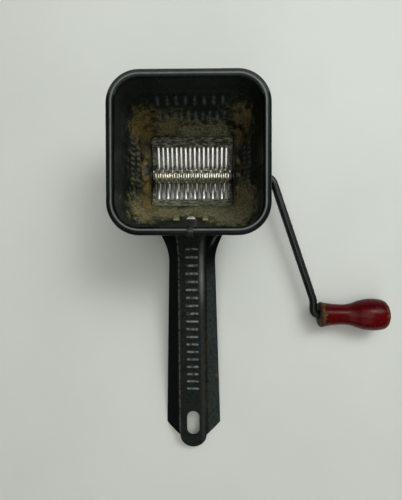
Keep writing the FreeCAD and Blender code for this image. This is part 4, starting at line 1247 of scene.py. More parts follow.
    def grades(self, points: np.ndarray, beside: np.ndarray) -> dict[str, np.ndarray]:
        """Where steel is silted, dull and matt: bands and strips silted, bar edges and the underside in
        painted shade, near bars dulled as painted shade, and every other near bar lit by a painted highlight
        line.

        Args:
            points: Points of the mesh, those of the upper face first.
            beside: Distance from the middle of a bar, from 0 to 1 at its edge.

        Returns:
            Numbers by the grade's name.
        """
        x, y, _ = points.T
        bands = smooth_step(np.abs(y), self.slot_reach - 0.6, self.slot_reach + 0.5)
        strips = smooth_step(np.abs(x), self.strip_from, self.strip_from + 0.4)
        # painted shade on the underside and slot walls, so the slots read dark
        under = (np.arange(len(points)) >= len(points) // 2).astype(float)
        near = 1.0 - smooth_step(y, -4.0, -2.5)
        # painted shade at the far bars' edges, beside the dark slots
        edges = (1.0 - near) * smooth_step(beside, 0.38, 0.82)
        highlit_bar = self.highlit_bar(x)
        # painted highlight line along the middle of every other near bar
        line = bell(beside, self.highlight_half) * highlit_bar
        # painted shade on the near bars, which face the dark far wall, lessened towards the rotor by painted
        # light
        shaded = near * (1.0 - self.rotor_shade_lift * smooth_step(y, -10.0, -5.0))
        return {
            "grime_and_shade": np.maximum.reduce((bands, strips, under, edges)),
            # dull carries painted shade on the near bars and a light dullness on every other bar
            "dull": np.where(highlit_bar, shaded * (1.0 - line), np.maximum(shaded, self.least_dull)),
            "matt": near * (1.0 - line),
        }

    def build(self, steel: bpy.types.Material) -> None:
        """Make the tray and set it on the mill.

        Args:
            steel: Its finish.
        """
        x, across, open_cells = self.lines()
        y = self.rows()
        open_rows = (y[:-1] > -self.slot_reach - 0.01) & (y[1:] < self.slot_reach + 0.01)
        layers = self.layers(x, y, across)
        form = Form("grate_tray")
        self.skin(form, layers, ~(open_rows[:, None] & open_cells[None, :]))
        item = form.build(SOFT_CREASE)
        beside = np.tile(np.abs(across), len(layers) * len(y))
        grade(item, self.grades(places(item), beside))
        show(item, steel, Body.MILL, ["slotted_grate"])


@dataclass
class Handle:
    """Channel that flares onto the hopper, with plain grip ribs, a hanging slot and two folded tenons."""

    sheet: float = 1.0
    root_reach: float = ROOT_REACH
    root_height: float = ROOT_HEIGHT
    fall: float = 0.19639
    wall_slope: float = 0.458
    flare_length: float = 19.0
    flare_power: float = 2.0
    root_half: float = 21.0
    root_flat: float = 8.0
    neck_half: float = 10.9
    neck_flat: float = 5.85
    end_half: float = 13.8
    end_flat: float = 6.6
    depth: float = 6.0
    shoulder_reach: float = 127.8
    tip_reach: float = 138.7
    tip_radius: float = 6.7
    slot_reach: float = 125.4
    slot_width: float = 6.2
    slot_length: float = 13.2
    crease: float = 0.75
    rib_first: float = 37.5
    rib_last: float = 106.5
    rib_count: int = 19
    rib_half_length: float = 3.0
    rib_half_width: float = 0.72
    rib_height: float = 0.42
    rib_ease: float = 0.6
    ribbed_from: float = 36.0
    ribbed_to: float = 108.0
    run_on: float = 146.0
    stations: tuple[int, int, int] = (40, 240, 70)
    flank_steps: int = 26
    deck_steps: int = 41
    cut_depth: float = 80.0
    tenon_offset: float = TENON_OFFSET
    tenon_width: float = 2.6
    tenon_top: float = 4.6
    tenon_root: float = 0.2
    tenon_near: float = 0.88
    tenon_far: float = 1.88
    tenon_round: float = 0.16
    crease_rub: float = 0.55
    scratch_rub: float = 0.8
    scratch_x: float = 10.775
    scratch_reach: float = 32.5
    scratch_lean: float = 0.55
    scratch_half: float = 0.5
    scratch_length: float = 3.0
    tip_rub: float = 0.3
    edge_rust: float = 0.45
    rust_reach: float = 101.0
    rust_length: float = 5.0
    rust_width: float = 1.4
    crease_rust: float = 0.14
    # painted sheen on the flat top, and where the painted highlight on the right crease is strongest
    deck_dust: float = 0.50
    highlight_reach: float = 49.0
    highlight_length: float = 12.0
    least_highlight: float = 0.10

    def top(self, reach: np.ndarray) -> np.ndarray:
        """Height of the flat top at a distance from the hopper's middle."""
        return self.root_height - (reach - self.root_reach) * self.fall

    def flare(self, reach: np.ndarray) -> np.ndarray:
        """Share of the flare, 1 at the hopper and 0 from the neck on."""
        return np.clip(1.0 - (reach - self.root_reach) / self.flare_length, 0.0, 1.0)

    def widths(self, reach: np.ndarray) -> tuple[np.ndarray, np.ndarray, np.ndarray]:
        """Half width, half width of the flat, and depth of the channel.

        Args:
            reach: Distances from the hopper's middle.

        Returns:
            Three arrays in the shape of the distances.
        """
        neck = self.root_reach + self.flare_length
        widen = self.flare(reach) ** self.flare_power
        share = np.clip((reach - neck) / (self.shoulder_reach - neck), 0.0, 1.0)
        half = self.neck_half + (self.root_half - self.neck_half) * widen
        half = half + (self.end_half - self.neck_half) * share
        flat = self.neck_flat + (self.root_flat - self.neck_flat) * widen
        flat = flat + (self.end_flat - self.neck_flat) * share
        end_depth = self.top(np.array(self.shoulder_reach))
        depth = self.depth + (end_depth - self.depth) * share
        return half, flat, np.where(reach > self.shoulder_reach, self.top(reach), depth)

    def faces(self) -> tuple[np.ndarray, np.ndarray]:
        """Points of the channel's upper and lower face, run on past the tip.

        Returns:
            Two arrays of stations by places across by three.
        """
        before, ribbed, after = self.stations
        reach = np.concatenate((np.linspace(self.root_reach, self.ribbed_from, before, endpoint=False),
                                np.linspace(self.ribbed_from, self.ribbed_to, ribbed, endpoint=False),
                                np.linspace(self.ribbed_to, self.run_on, after)))
        half, flat, depth = (values[:, None] for values in self.widths(reach))
        slope = depth / (half - flat)
        flank = np.hypot(half - flat, depth)
        steps = np.concatenate((np.linspace(-1.0, -0.5, self.flank_steps)[:-1],
                                np.linspace(-0.5, 0.5, self.deck_steps),
                                np.linspace(0.5, 1.0, self.flank_steps)[1:]))
        spacing = (reach - self.rib_first) / (self.rib_last - self.rib_first) * (self.rib_count - 1)
        nearest = np.clip(np.round(spacing), 0, self.rib_count - 1)
        pitch = (self.rib_last - self.rib_first) / (self.rib_count - 1)
        ridge = bell((spacing - nearest) * pitch, self.rib_half_width)[:, None]
        under_half = half - self.sheet * flank / depth
        under_flat = flat - self.sheet * (flank - half + flat) / depth
        results = []
        for thick, edge, crease_at in ((0.0, half, flat), (self.sheet, under_half, under_flat)):
            inner = np.clip(np.abs(steps) * 2.0, 0.0, 1.0) * crease_at
            outer = np.clip(np.abs(steps) * 2.0 - 1.0, 0.0, 1.0) * (edge - crease_at)
            x = np.sign(steps) * (inner + outer)
            drop = thick + slope * soft_ramp(np.abs(x) - crease_at, self.crease)
            drop = np.minimum(drop, depth)
            window = 1.0 - smooth_step(np.abs(x), self.rib_half_length - self.rib_ease,
                                       self.rib_half_length + self.rib_ease)
            lean = self.flare(reach)[:, None] ** 2
            y = -(reach[:, None] - drop * self.wall_slope * lean)
            z = self.top(reach)[:, None] - drop + self.rib_height * ridge * window
            results.append(np.stack((x, np.broadcast_to(y, x.shape), z), axis=-1))
        return results[0], results[1]

    def cutters(self) -> bpy.types.Object:
        """Make the tool that trims the tip and cuts the hanging slot.

        Returns:
            Closed bars: what lies outside the slanting shoulders and the round end, and the slot.
        """
        tool = Form("handle_cutters")
        axes = (X_AXIS, Y_AXIS, Z_AXIS)
        far, wide = -self.tip_reach - 3 * self.tip_radius, self.end_half + self.tip_radius
        shoulder = -self.shoulder_reach
        nose = arc_points((0.0, self.tip_radius - self.tip_reach), self.tip_radius, 360.0, 180.0, step=4.0)
        right = np.array(((wide, far), (wide, shoulder), (self.end_half, shoulder)))
        left = np.array(((-self.end_half, shoulder), (-wide, shoulder), (-wide, far)))
        prism(tool, np.concatenate((right, nose, left)), (0.0, 0.0, 0.0), axes, self.cut_depth)
        radius, half = self.slot_width / 2, (self.slot_length - self.slot_width) / 2
        ring = np.concatenate((arc_points((0.0, half), radius, 0.0, 180.0),
                               arc_points((0.0, -half), radius, 180.0, 360.0)))
        prism(tool, ring, (0.0, -self.slot_reach, 0.0), axes, self.cut_depth)
        return tool.build()

    def grades(self, points: np.ndarray) -> dict[str, np.ndarray]:
        """Where paint is rubbed, rusty and dusty, with a painted highlight on the right crease, painted light
        on the right flank and painted sheen on the flat top.

        Args:
            points: Points of the mesh.

        Returns:
            Numbers by the grade's name.
        """
        x, reach = points[:, 0], -points[:, 1]
        half, flat, _ = self.widths(reach)
        above = smooth_step(points[:, 2] - self.top(reach), -1.2, -0.6)
        left = bell(x + flat + 0.15, 0.36) * above * smooth_step(reach, 29.0, 34.0)
        # painted highlight along the right crease, strongest in one patch
        right = bell(x - flat + 1.4, 0.9) * above
        patch = np.maximum(bell(reach - self.highlight_reach, self.highlight_length), self.least_highlight)
        # painted light on the right flank and painted sheen on the flat top, through the dust grade
        flank = smooth_step(x - flat, 0.3, 1.5) * smooth_step(reach, 40.0, 52.0)
        deck = self.deck_dust * smooth_step(flat - np.abs(x), -0.8, 0.4)
        ribs = smooth_step(points[:, 2] - self.top(reach), 0.18, 0.36)
        down = reach - self.scratch_reach
        scratch = bell(x - self.scratch_x + self.scratch_lean * down, self.scratch_half)
        scratch = scratch * bell(down, self.scratch_length)
        edge = bell(x - half, self.rust_width) * bell(reach - self.rust_reach, self.rust_length)
        brown = bell(x - flat - 0.5, 0.9) * smooth_step(reach, 60.0, 90.0)
        tip = bell(np.abs(x) - half, 0.5) * smooth_step(reach, 124.0, 128.0)
        rubbed = (self.crease_rub * left, self.scratch_rub * scratch, self.tip_rub * tip, ribs)
        return {
            "rubbed": np.maximum.reduce(rubbed),
            "polish_and_highlight": right * patch,
            "rusty": np.maximum(self.edge_rust * edge, self.crease_rust * brown),
            "dust": np.maximum(flank, deck),
        }

    def tenons(self, up: Point, into: Point) -> bpy.types.Object:
        """Two tongues that pass through the near wall and are folded up against its inside.

        Args:
            up: Direction up the wall.
            into: Direction into the hopper, square to the wall.

        Returns:
            The pair as one object.
        """
        form = Form("handle_tenons")
        near, far, top, root = self.tenon_near, self.tenon_far, self.tenon_top, self.tenon_root
        outline = np.array(((0.02, root), (0.02, near), (top - 0.15, near), (top, near + 0.15),
                            (top, far - 0.3), (top - 0.3, far), (-0.40, far), (-0.75, far - 0.16),
                            (-0.95, far - 0.45), (-1.0, far - 0.8), (-1.0, root)))
        for side in Side:
            prism(form, outline, (side.value * self.tenon_offset, -self.root_reach, self.root_height),
                  (up, into, X_AXIS), self.tenon_width)
        item = form.build()
        soften = item.modifiers.new("soften", "BEVEL")
        soften.width, soften.segments, soften.limit_method = self.tenon_round * MM, 3, "ANGLE"
        settle(item)
        smooth(item, CREASE)
        return item

    def build(self, paint: bpy.types.Material, steel: bpy.types.Material, up: Point, into: Point) -> None:
        """Make the handle and its tenons and set them on the mill.

        Args:
            paint: Finish of the channel.
            steel: Finish of the tenons.
            up: Direction up the hopper's near wall.
            into: Direction into the hopper.
        """
        upper, lower = self.faces()
        form = Form("handle_channel")
        ring = form.net(np.concatenate((upper, lower[:, ::-1]), axis=1))
        width = upper.shape[1]
        for end in (ring[0], ring[-1]):
            form.quads(np.stack((end[:width], end[width:][::-1])))
        item = form.build(SOFT_CREASE)
        carve(item, self.cutters(), SOFT_CREASE)
        grade(item, self.grades(places(item)))
        show(item, paint, Body.MILL, ["handle"])
        show(self.tenons(up, into), steel, Body.MILL)


@dataclass
class RimStrap:
    """Narrow strip on the inside of the near wall, hooked over the rolled rim, with its foot curled up."""

    middle: float = 0.5
    width: float = 2.5
    foot_width: float = 3.9
    sheet: float = 0.5
    lay: float = 0.15
    foot_height: float = 30.3
    tail: float = 1.2
    foot_curl: float = 0.6
    foot_round: float = 1.3
    foot_shift: float = -0.45
    curl_turns: tuple[float, float] = (55.0, -85.0)
    wall_steps: int = 60
    edge_round: float = 0.15
    edge_rub: float = 0.10
    # painted highlight on the strap's crest
    crown_highlight: float = 0.10

    def line(self, hopper: Hopper) -> np.ndarray:
        """Middle line of the strip from its foot to its tail.

        Args:
            hopper: Hopper that it lies on.

        Returns:
            Y and Z as rows of two.
        """
        off = self.lay + self.sheet / 2
        heights = np.linspace(self.foot_height, hopper.curl_height, self.wall_steps)
        walls = hopper.half_sizes(heights)[:, 1]
        slope = np.gradient(walls, heights)
        lean = np.sqrt(1.0 + slope ** 2)
        inner = np.column_stack((-walls + off / lean, heights + off * slope / lean))
        away = inner[0] - inner[1]
        angle = math.degrees(math.atan2(away[1], away[0]))
        turn_in = np.array((-away[1], away[0])) / np.linalg.norm(away)
        first, last = (angle + turn for turn in self.curl_turns)
        curl = arc_points(inner[0] + turn_in * self.foot_curl, self.foot_curl, first, last, 10.0)
        rim = (-hopper.collar_half - hopper.curl_radius, hopper.curl_height)
        hook = arc_points(rim, hopper.curl_radius + off, 0.0, 180.0, 8.0)
        tail = hook[-1] - np.array((0.0, self.tail))
        return np.concatenate((curl[:-1], inner[:-1], hook, tail[None, :]))

    def build(self, hopper: Hopper, paint: bpy.types.Material) -> None:
        """Make the strap and set it on the mill.

        Args:
            hopper: Hopper that it lies on.
            paint: Its finish.
        """
        strip = self.line(hopper)
        path = np.column_stack((np.full(len(strip), self.middle), strip))
        half, thin = self.width / 2, self.sheet / 2
        flat, side = half - self.edge_round, thin / 2
        section = np.array(((half, -side), (half, side), (flat, thin), (-flat, thin),
                            (-half, side), (-half, -side), (-flat, -thin), (flat, -thin)))
        rows = sweep(path, np.array(X_AXIS), section, np.ones(len(path)))
        flare = 1.0 - smooth_step(path[:, 2], self.foot_height - 0.6, self.foot_height + 1.6)
        run = np.concatenate(([0.0], np.cumsum(np.linalg.norm(np.diff(path, axis=0), axis=1))))
        taper = np.sqrt(1.0 - (1.0 - np.clip(run / self.foot_round, 0.03, 1.0)) ** 2)
        widen = taper * (1.0 + (self.foot_width / self.width - 1.0) * flare)
        shift = self.foot_shift * flare
        rows[..., 0] = self.middle + (rows[..., 0] - self.middle) * widen[:, None] + shift[:, None]
        form = Form("rim_strap_bent")
        ring = form.net(rows)
        for end in (ring[0], ring[-1]):
            form.faces.append(tuple(end.tolist()))
        item = form.build()
        x, _, z = places(item).T
        foot = 1.0 - smooth_step(z, self.foot_height - 0.2, self.foot_height + 0.6)
        edges = bell(np.abs(x - self.middle) - half, 0.12)
        crest = hopper.curl_height + hopper.curl_radius + self.lay + self.sheet
        # painted highlight along the strap's crest, in line with the rim's; the foot is worn bright
        crown = smooth_step(z, crest - 0.09, crest - 0.01) * (1.0 - edges)
        grade(item, {"polish_and_highlight": np.maximum(foot, self.crown_highlight * crown), "rubbed": self.edge_rub * edges})
        show(item, paint, Body.MILL, ["rim_strap"])


@dataclass
class Bearings:
    """Flanged eyelets in the cheeks and the cap on the shaft's left end."""

    axis_y: float = SHAFT_Y
    axis_z: float = SHAFT_Z
    bore: float = BEARING_BORE
    tube: float = 2.75
    flange: float = 4.35
    lip: float = 3.55
    thick: float = 0.6
    inner_x: float = THROAT_HALF_X
    sheet: float = HOPPER_SHEET
    edge_run: float = 0.25
    edge_rise: float = 0.3
    roll: tuple[tuple[float, float], ...] = ((0.0, -0.1), (0.12, 0.0), (0.35, -0.03), (0.6, -0.35))
    mouth_run: float = 0.3
    mouth_rise: float = 0.4
    cap_radius: float = 4.0
    cap_length: float = 3.4
    cap_seat: float = 21.7
    cap_crown: float = 1.2
    cap_flat: float = 1.2
    cap_bore: float = 1.92
    cap_wall: float = 0.68
    cap_edge: float = 0.2
    cap_pinhole: float = 0.02

    def eyelet(self, side: Side, steel: bpy.types.Material) -> None:
        """Make one eyelet and set it on the mill.

        Args:
            side: Cheek that it sits in.
            steel: Its finish.
        """
        near, wall = self.inner_x - self.thick, self.inner_x + self.sheet
        far = wall + self.thick
        inside = np.array(((near + self.edge_run, self.bore), (near, self.bore + self.edge_rise),
                           (near, self.lip - self.edge_rise), (near + self.edge_run, self.lip),
                           (self.inner_x, self.lip), (self.inner_x, self.tube), (wall, self.tube)))
        mouth = np.array(((far, self.bore + self.mouth_rise), (far - self.mouth_run, self.bore)))
        profile = np.concatenate((inside, np.array(self.roll) + (wall, self.flange), mouth))
        profile[:, 0] *= side.value
        form = Form(f"bearing_eyelet_{side.name.lower()}_rolled")
        lathe(form, profile, (self.axis_y, self.axis_z))
        show(form.build(), steel, Body.MILL, [f"bearing_eyelet_{side.name.lower()}"])

    def cap(self, steel: bpy.types.Material) -> None:
        """Make the pressed cap and set it on the rotor.

        Args:
            steel: Its finish.
        """
        seat, end = -self.cap_seat, -self.cap_seat - self.cap_length
        floor, soft = end + self.cap_wall, self.cap_edge
        face = np.array(((floor, self.cap_pinhole), (end, self.cap_pinhole), (end, self.cap_flat)))
        middle = (end + self.cap_crown, self.cap_radius - self.cap_crown)
        crown = arc_points(middle, self.cap_crown, 180.0, 90.0, 10.0)
        rim = np.array(((seat - soft, self.cap_radius), (seat, self.cap_radius - soft),
                        (seat, self.cap_bore + soft), (seat - soft, self.cap_bore), (floor, self.cap_bore)))
        form = Form("shaft_end_cap_pressed")
        lathe(form, np.concatenate((face, crown, rim)), (self.axis_y, self.axis_z))
        show(form.build(), steel, Body.ROTOR, ["shaft_end_cap"])

    def build(self, eyelet_steel: bpy.types.Material, cap_steel: bpy.types.Material) -> None:
        """Make both eyelets and the cap.

        Args:
            eyelet_steel: Finish of the eyelets.
            cap_steel: Finish of the cap.
        """
        for side in Side:
            self.eyelet(side, eyelet_steel)
        self.cap(cap_steel)


@dataclass
class Crank:
    """Bent rod: shaft through the rotor, slanting arm and pin for the knob, with a peened head."""

    axis_y: float = SHAFT_Y
    axis_z: float = SHAFT_Z
    radius: float = 1.9
    left_end: float = -24.4
    bend_x: float = 38.9
    end_x: float = 59.8
    throw: float = 68.5
    slant: float = 18.8
    drop: float = 1.5896
    elbow: float = 6.0
    easing: float = 8.0
    pin: float = 2.6
    pin_end: float = 95.7
    head_radius: float = 2.5
    head: tuple[tuple[float, float], ...] = (
        (0.02, 0.96), (0.22, 1.0), (0.5, 0.92), (0.68, 0.66), (0.77, 0.3))
    head_tip: float = 0.02
    segments: int = 40
    run_steps: tuple[int, int, int, int] = (50, 60, 10, 40)
    # rubbed paint and painted highlight on the arm's upper side
    arm_rub_and_highlight: float = 0.05

    def line(self) -> np.ndarray:
        """Middle line of the rod in its own plane.

        Returns:
            Points as rows of two, from the left end to the pin's end.
        """
        turn = math.radians(90.0 - self.slant)
        before = self.elbow * math.tan(turn / 2)
        fall = np.array((math.sin(math.radians(self.slant)), -math.cos(math.radians(self.slant))))
        ease = self.easing * math.tan(math.radians(self.slant) / 2)
        corner = np.array((self.end_x, (self.end_x - self.bend_x) * fall[1] / fall[0]))
        elbow = arc_points((self.bend_x - before, -self.elbow), self.elbow, 90.0, self.slant, 3.0)
        bend = arc_points((self.end_x - self.easing, corner[1] - ease), self.easing, self.slant, 0.0, 3.0)
        turn_in = arc_points((self.end_x + self.pin, -self.throw + self.pin), self.pin, 180.0, 270.0, 5.0)
        shaft, arm, link, pin = self.run_steps
        runs = (np.linspace((self.left_end, 0.0), elbow[0], shaft, endpoint=False), elbow,
                np.linspace(elbow[-1], bend[0], arm)[1:-1], bend,
                np.linspace(bend[-1], turn_in[0], link)[1:-1], turn_in,
                np.linspace(turn_in[-1], (self.pin_end, -self.throw), pin)[1:])
        return np.concatenate(runs)

    def build(self, paint: bpy.types.Material) -> None:
        """Make the rod and set it on the rotor.

        Args:
            paint: Its finish.
        """
        rod = self.line()
        drop = math.radians(self.drop)
        along = np.array((0.0, math.cos(drop), math.sin(drop)))
        head = np.array(self.head) * (1.0, self.head_radius)
        peened = np.column_stack((rod[-1, 0] + head[:, 0], np.full(len(head), rod[-1, 1])))
        flat = np.concatenate((rod, peened))
        reach = np.concatenate((np.full(len(rod), self.radius), head[:, 1]))
        origin = np.array((0.0, self.axis_y, self.axis_z))
        path = origin + flat[:, :1] * np.array(X_AXIS) + flat[:, 1:] * along
        step = 360.0 / self.segments
        circle = arc_points((0.0, 0.0), 1.0, 0.0, 360.0 - step, step)
        form = Form("crank_rod_bent")
        ring = form.net(sweep(path, np.cross(X_AXIS, along), circle, reach))
        form.fan(ring[0], path[0])
        form.fan(ring[-1], path[-1] + np.array((self.head_tip, 0.0, 0.0)))
        item = form.build(SOFT_CREASE)
        x, _, z = places(item).T
        # rubbed paint with a painted highlight on the arm's upper side; the pin's end is worn bare
        arm = smooth_step(x, self.bend_x, self.bend_x + 2.0)
        tops = smooth_step(z - (self.axis_z - 1.0), 0.6, 1.6)
        pin = smooth_step(x, self.pin_end - 0.2, self.pin_end)
        grade(item, {"rubbed": np.maximum(self.arm_rub_and_highlight * arm * tops, pin)})
        show(item, paint, Body.ROTOR, ["crank_rod"])


@dataclass
class Knob:
    """Turned grip on the crank's pin, and the washer under the pin's head."""

    start_x: float = 62.5
    axis_y: float = -70.374
    axis_z: float = 8.1
    length: float = 33.6
    bore: float = BEARING_BORE
    base: float = 6.2
    edge: float = 1.2
    neck: float = 5.0
    neck_x: float = 11.8
    belly: float = 7.85
    belly_x: float = 26.3
    belly_curve: float = 22.0
    nose: float = 3.6
    nose_fullness: float = 0.97
    nose_steps: int = 14
    face: float = 3.6
    recess: float = 3.0
    recess_depth: float = 1.4
    washer_radius: float = 2.85
    washer_bore: float = 1.92
    washer_x: float = 95.0
    washer_thick: float = 0.7
    washer_edge: float = 0.15
    segments: int = 96
    washer_segments: int = 60
    base_wear: float = 0.74
    nose_wear: float = 0.62
    belly_wear: float = 0.10

    def profile(self) -> np.ndarray:
        """Closed outline of the grip.

        Returns:
            Place from the base and radius, as rows of two.
        """
        cove = ((self.neck_x - self.edge) ** 2 + (self.base - self.neck) ** 2) / (2 * (self.base - self.neck))
        gap = self.belly_x - self.neck_x
        swell = (gap ** 2 + (self.belly - self.neck) ** 2) / (2 * (self.belly - self.neck)) - self.belly_curve
        lip = arc_points((self.edge, self.base - self.edge), self.edge, 180.0, 95.0, 12.0)
        waist_angle = math.degrees(math.asin((self.neck_x - self.edge) / cove))
        waist = arc_points((self.neck_x, self.neck + cove), cove, 270.0 - waist_angle, 270.0, 1.2)
        meet = math.degrees(math.asin(gap / (swell + self.belly_curve)))
        rise = arc_points((self.neck_x, self.neck + swell), swell, 270.0, 270.0 + meet, 2.0)
        crest_y = self.belly - self.belly_curve
        nose_x = self.length - self.nose
        fall = math.degrees(math.asin((nose_x - self.belly_x) / self.belly_curve))
        crest = arc_points((self.belly_x, crest_y), self.belly_curve, 90.0 + meet, 90.0 - fall, 2.0)
        start, end = crest[-1], np.array((self.length, self.face))
        share = np.linspace(0.0, 1.0, self.nose_steps)[1:, None]
        slope = np.array((1.0, -math.tan(math.radians(fall))))
        middle = start + slope * (end[0] - start[0]) * self.nose_fullness
        nose = start * (1 - share) ** 2 + 2 * middle * share * (1 - share) + end * share ** 2
        floor = self.length - self.recess_depth
        hollow = np.array(((self.length, self.recess + 0.3), (self.length - 0.2, self.recess),
                           (floor, self.recess), (floor, self.bore), (0.3, self.bore),
                           (0.0, self.bore + 0.3)))
        return np.concatenate((lip, waist[:-1], rise[:-1], crest, nose, hollow))

    def build(self, lacquer: bpy.types.Material, steel: bpy.types.Material) -> None:
        """Make the grip and its washer and set them on their bodies.

        Args:
            lacquer: Finish of the grip.
            steel: Finish of the washer.
        """
        profile = self.profile()
        profile[:, 0] += self.start_x
        form = Form("knob_turned")
        lathe(form, profile, (self.axis_y, self.axis_z), self.segments)
        item = form.build(SOFT_CREASE)
        points = places(item)
        along = points[:, 0] - self.start_x
        radius = np.hypot(points[:, 1] - self.axis_y, points[:, 2] - self.axis_z)
        base = 1.0 - smooth_step(along, 0.6, 4.2)
        end = smooth_step(along, self.length - 4.4, self.length - 1.2) * smooth_step(radius, 2.0, 3.4)
        knock = bell(along - self.belly_x - 2.0, 5.0) * bell(points[:, 2] - self.axis_z - 8.0, 2.0)
        worn = np.maximum.reduce((self.base_wear * base, self.nose_wear * end, self.belly_wear * knock))
        grade(item, {"worn": worn})
        show(item, lacquer, Body.GRIP, ["knob"])
        near, far = self.washer_x, self.washer_x + self.washer_thick
        soft, flat = self.washer_edge, self.washer_radius - self.washer_edge
        ring = np.array(((near, self.washer_bore), (near, flat), (near + soft, self.washer_radius),
                         (far - soft, self.washer_radius), (far, flat), (far, self.washer_bore)))
        washer = Form("knob_washer_rounded")
        lathe(washer, ring, (self.axis_y, self.axis_z), self.washer_segments)
        show(washer.build(), steel, Body.ROTOR, ["knob_washer"])


@dataclass
class Rotor:
    """Toothed discs, spacers and washers on the shaft, as packed, with painted shade: darkened discs and end
    washers, and rings on the spacers.
    """

    finishes: dict[str, BareSteel] = field(default_factory=lambda: {
        # discs and end washers are darker than their metal as painted shade under the bars and cheeks;
        # spacers carry rings of painted shade
        "cutter_disc": BareSteel("disc_steel", bright=(0.36, 0.35, 0.31), clouded=(0.20, 0.185, 0.15),
                                 roughness=0.36, brown_from=0.58),
        "spacer": BareSteel("spacer_steel", bright=(0.90, 0.87, 0.78), clouded=(0.52, 0.48, 0.38),
                            roughness=0.28, brown_from=0.60, shade_ring_pitch=DISC_PITCH,
                            shade_ring_start=DISC_PITCH / 2),
        "rotor_washer": BareSteel("washer_steel", bright=(0.150, 0.145, 0.130), clouded=(0.075, 0.070, 0.057),
                                  roughness=0.42, brown_from=0.52),
    })

    def build(self) -> None:
        """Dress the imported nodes."""
        for start, finish in self.finishes.items():
            steel = finish.make()
            names = [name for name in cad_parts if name.startswith(start)]
            for name in names:
                dress(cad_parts[name], steel)
            LOG.info("%s: %d packed nodes", start, len(names))


@dataclass(frozen=True)
class Lamp:
    """Soft lamp with a rectangular face."""

    name: str
    place: Point
    target: Point
    wide: float
    deep: float
    watts: float
    colour: Colour

    def hang(self) -> None:
        """Hang the lamp in the scene."""
        data = bpy.data.lights.new(self.name, "AREA")
        data.shape, data.size, data.size_y = "RECTANGLE", self.wide * MM, self.deep * MM
        data.energy, data.color = self.watts, self.colour
        item = bpy.data.objects.new(self.name, data)
        item.location = Vector(self.place) * MM
        item.rotation_mode = "QUATERNION"
        item.rotation_quaternion = (Vector(self.target) - Vector(self.place)).to_track_quat("-Z", "Y")
        bpy.context.scene.collection.objects.link(item)


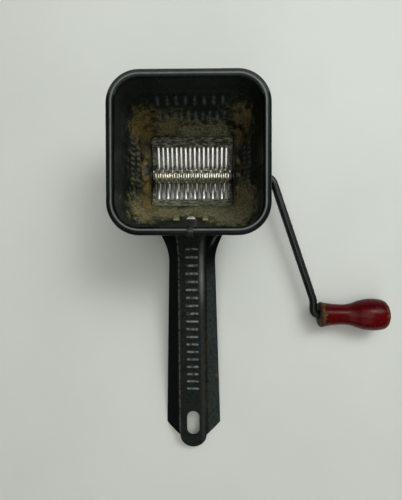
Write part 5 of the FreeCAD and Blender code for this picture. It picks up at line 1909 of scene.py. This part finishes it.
@dataclass
class Studio:
    """Paper floor, soft lamps and the camera above the mill."""

    camera_place: Point = (6.77005863, -35.8660498, 197.661623)
    camera_turn: Point = (-0.0121544906, 0.0140181038, -0.0026206056)
    focal_pixels: float = 380.281345
    image_height: float = 500.0
    film: float = 36.0
    floor_drop: float = 0.06
    floor_half: float = 1500.0
    room: tuple[tuple[float, float], ...] = ((0.0, 0.10), (0.5, 0.10), (0.75, 0.16), (1.0, 0.30))
    clip: tuple[float, float] = (0.005, 20.0)
    lamps: tuple[Lamp, ...] = (
        Lamp("window", (256.0, 310.0, 626.0), (0.0, -20.0, 10.0), 240.0, 240.0, 1.5, (0.97, 1.0, 1.0)),
        Lamp("side_window", (420.0, 290.0, 540.0), (0.0, -20.0, 10.0), 320.0, 320.0, 1.5, (0.97, 1.0, 1.0)),
        Lamp("ceiling", (0.0, 330.0, 900.0), (0.0, 330.0, 0.0), 480.0, 1140.0, 2.8, (1.0, 0.99, 0.95)),
        Lamp("overhead", (0.0, -36.0, 1500.0), (0.0, -36.0, 0.0), 1000.0, 1000.0, 2.4, (1.0, 0.98, 0.93)),
        Lamp("near_wall", (0.0, -1700.0, 2000.0), (0.0, 0.0, 0.0), 1000.0, 2600.0, 8.8, (1.0, 0.98, 0.93)),
    )

    def floor(self) -> None:
        """Lay the paper."""
        half, drop = self.floor_half, -self.floor_drop
        form = Form("paper_floor")
        edge = np.linspace(-half, half, 3)
        rows = [np.column_stack((edge, np.full(3, y), np.full(3, drop))) for y in edge]
        form.net(np.stack(rows), ring=False)
        item = form.build()
        dress(item, Paper().make())

    def sky(self) -> None:
        """Light the room, bright on the right and dark on the left."""
        world = bpy.data.worlds.new("room")
        world.use_nodes = True
        nodes, links = world.node_tree.nodes, world.node_tree.links
        place = nodes.new("ShaderNodeTexCoord")
        split = nodes.new("ShaderNodeSeparateXYZ")
        links.new(place.outputs["Generated"], split.inputs["Vector"])
        level = nodes.new("ShaderNodeMapRange")
        level.inputs["From Min"].default_value = -1.0
        links.new(split.outputs["X"], level.inputs["Value"])
        ramp = nodes.new("ShaderNodeValToRGB")
        stops = ramp.color_ramp.elements
        while len(stops) < len(self.room):
            stops.new(0.5)
        for stop, (share, light) in zip(stops, self.room):
            stop.position, stop.color = share, (light, light, light, 1.0)
        links.new(level.outputs["Result"], ramp.inputs["Fac"])
        links.new(ramp.outputs["Color"], nodes["Background"].inputs["Color"])
        bpy.context.scene.world = world

    def camera(self) -> None:
        """Set the camera above the mill."""
        data = bpy.data.cameras.new("camera")
        data.sensor_width = self.film
        data.lens = self.focal_pixels * self.film / self.image_height
        data.clip_start, data.clip_end = self.clip
        item = bpy.data.objects.new("camera", data)
        item.location = Vector(self.camera_place) * MM
        item.rotation_mode = "QUATERNION"
        turn = Vector(self.camera_turn)
        item.rotation_quaternion = Quaternion(turn.normalized(), turn.length)
        bpy.context.scene.collection.objects.link(item)
        bpy.context.scene.camera = item

    def build(self) -> None:
        """Lay the floor, light it and set the camera."""
        self.floor()
        self.sky()
        for lamp in self.lamps:
            lamp.hang()
        self.camera()
        bpy.context.scene.view_settings.view_transform = "Standard"


def main() -> None:
    """Build every piece in order, light them and log each piece."""
    logging.basicConfig(level=logging.INFO, format="%(message)s")
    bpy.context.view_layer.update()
    hopper = Hopper()
    hopper_paint = BlackPaint("hopper_paint", sheen=0.10).make()
    handle_paint = BlackPaint("handle_paint", dusty=(0.0020, 0.0036, 0.0031), dust=(0.031, 0.040, 0.034),
                              rubbed=(0.190, 0.205, 0.198), sheen=0.02).make()
    rod_paint = BlackPaint("rod_paint_worn", roughness=0.24, sheen=0.26).make()
    grate_steel = BareSteel("grate_steel", bright=(0.94, 0.95, 0.93), clouded=(0.80, 0.80, 0.77),
                            brush=(1.0, 0.15, 1.0), smear=(0.5, 1.2, 1.2)).make()
    dull_steel = BareSteel("dull_steel_worn", bright=(0.40, 0.40, 0.38), clouded=(0.22, 0.21, 0.19),
                           roughness=0.40, brown_from=0.58).make()
    # eyelets darker than their metal: painted shade under the cheeks
    eyelet_steel = BareSteel("eyelet_steel", bright=(0.110, 0.110, 0.098), clouded=(0.055, 0.053, 0.045),
                             roughness=0.45, brown_from=0.52).make()
    tenon_steel = BareSteel("tenon_steel", bright=(0.23, 0.195, 0.095), clouded=(0.15, 0.125, 0.06),
                            roughness=0.5, brown_from=0.66, metallic=0.15).make()
    strap_paint = BlackPaint("strap_paint", rubbed=(0.86, 0.87, 0.80), roughness=0.34).make()
    hopper.build(hopper_paint)
    Grate().build(grate_steel)
    Handle().build(handle_paint, tenon_steel, *hopper.wall_axes())
    RimStrap().build(hopper, strap_paint)
    Bearings().build(eyelet_steel, dull_steel)
    Rotor().build()
    Crank().build(rod_paint)
    Knob().build(RedLacquer("knob_lacquer").make(), dull_steel)
    Studio().build()


if __name__ == "__main__":
    main()
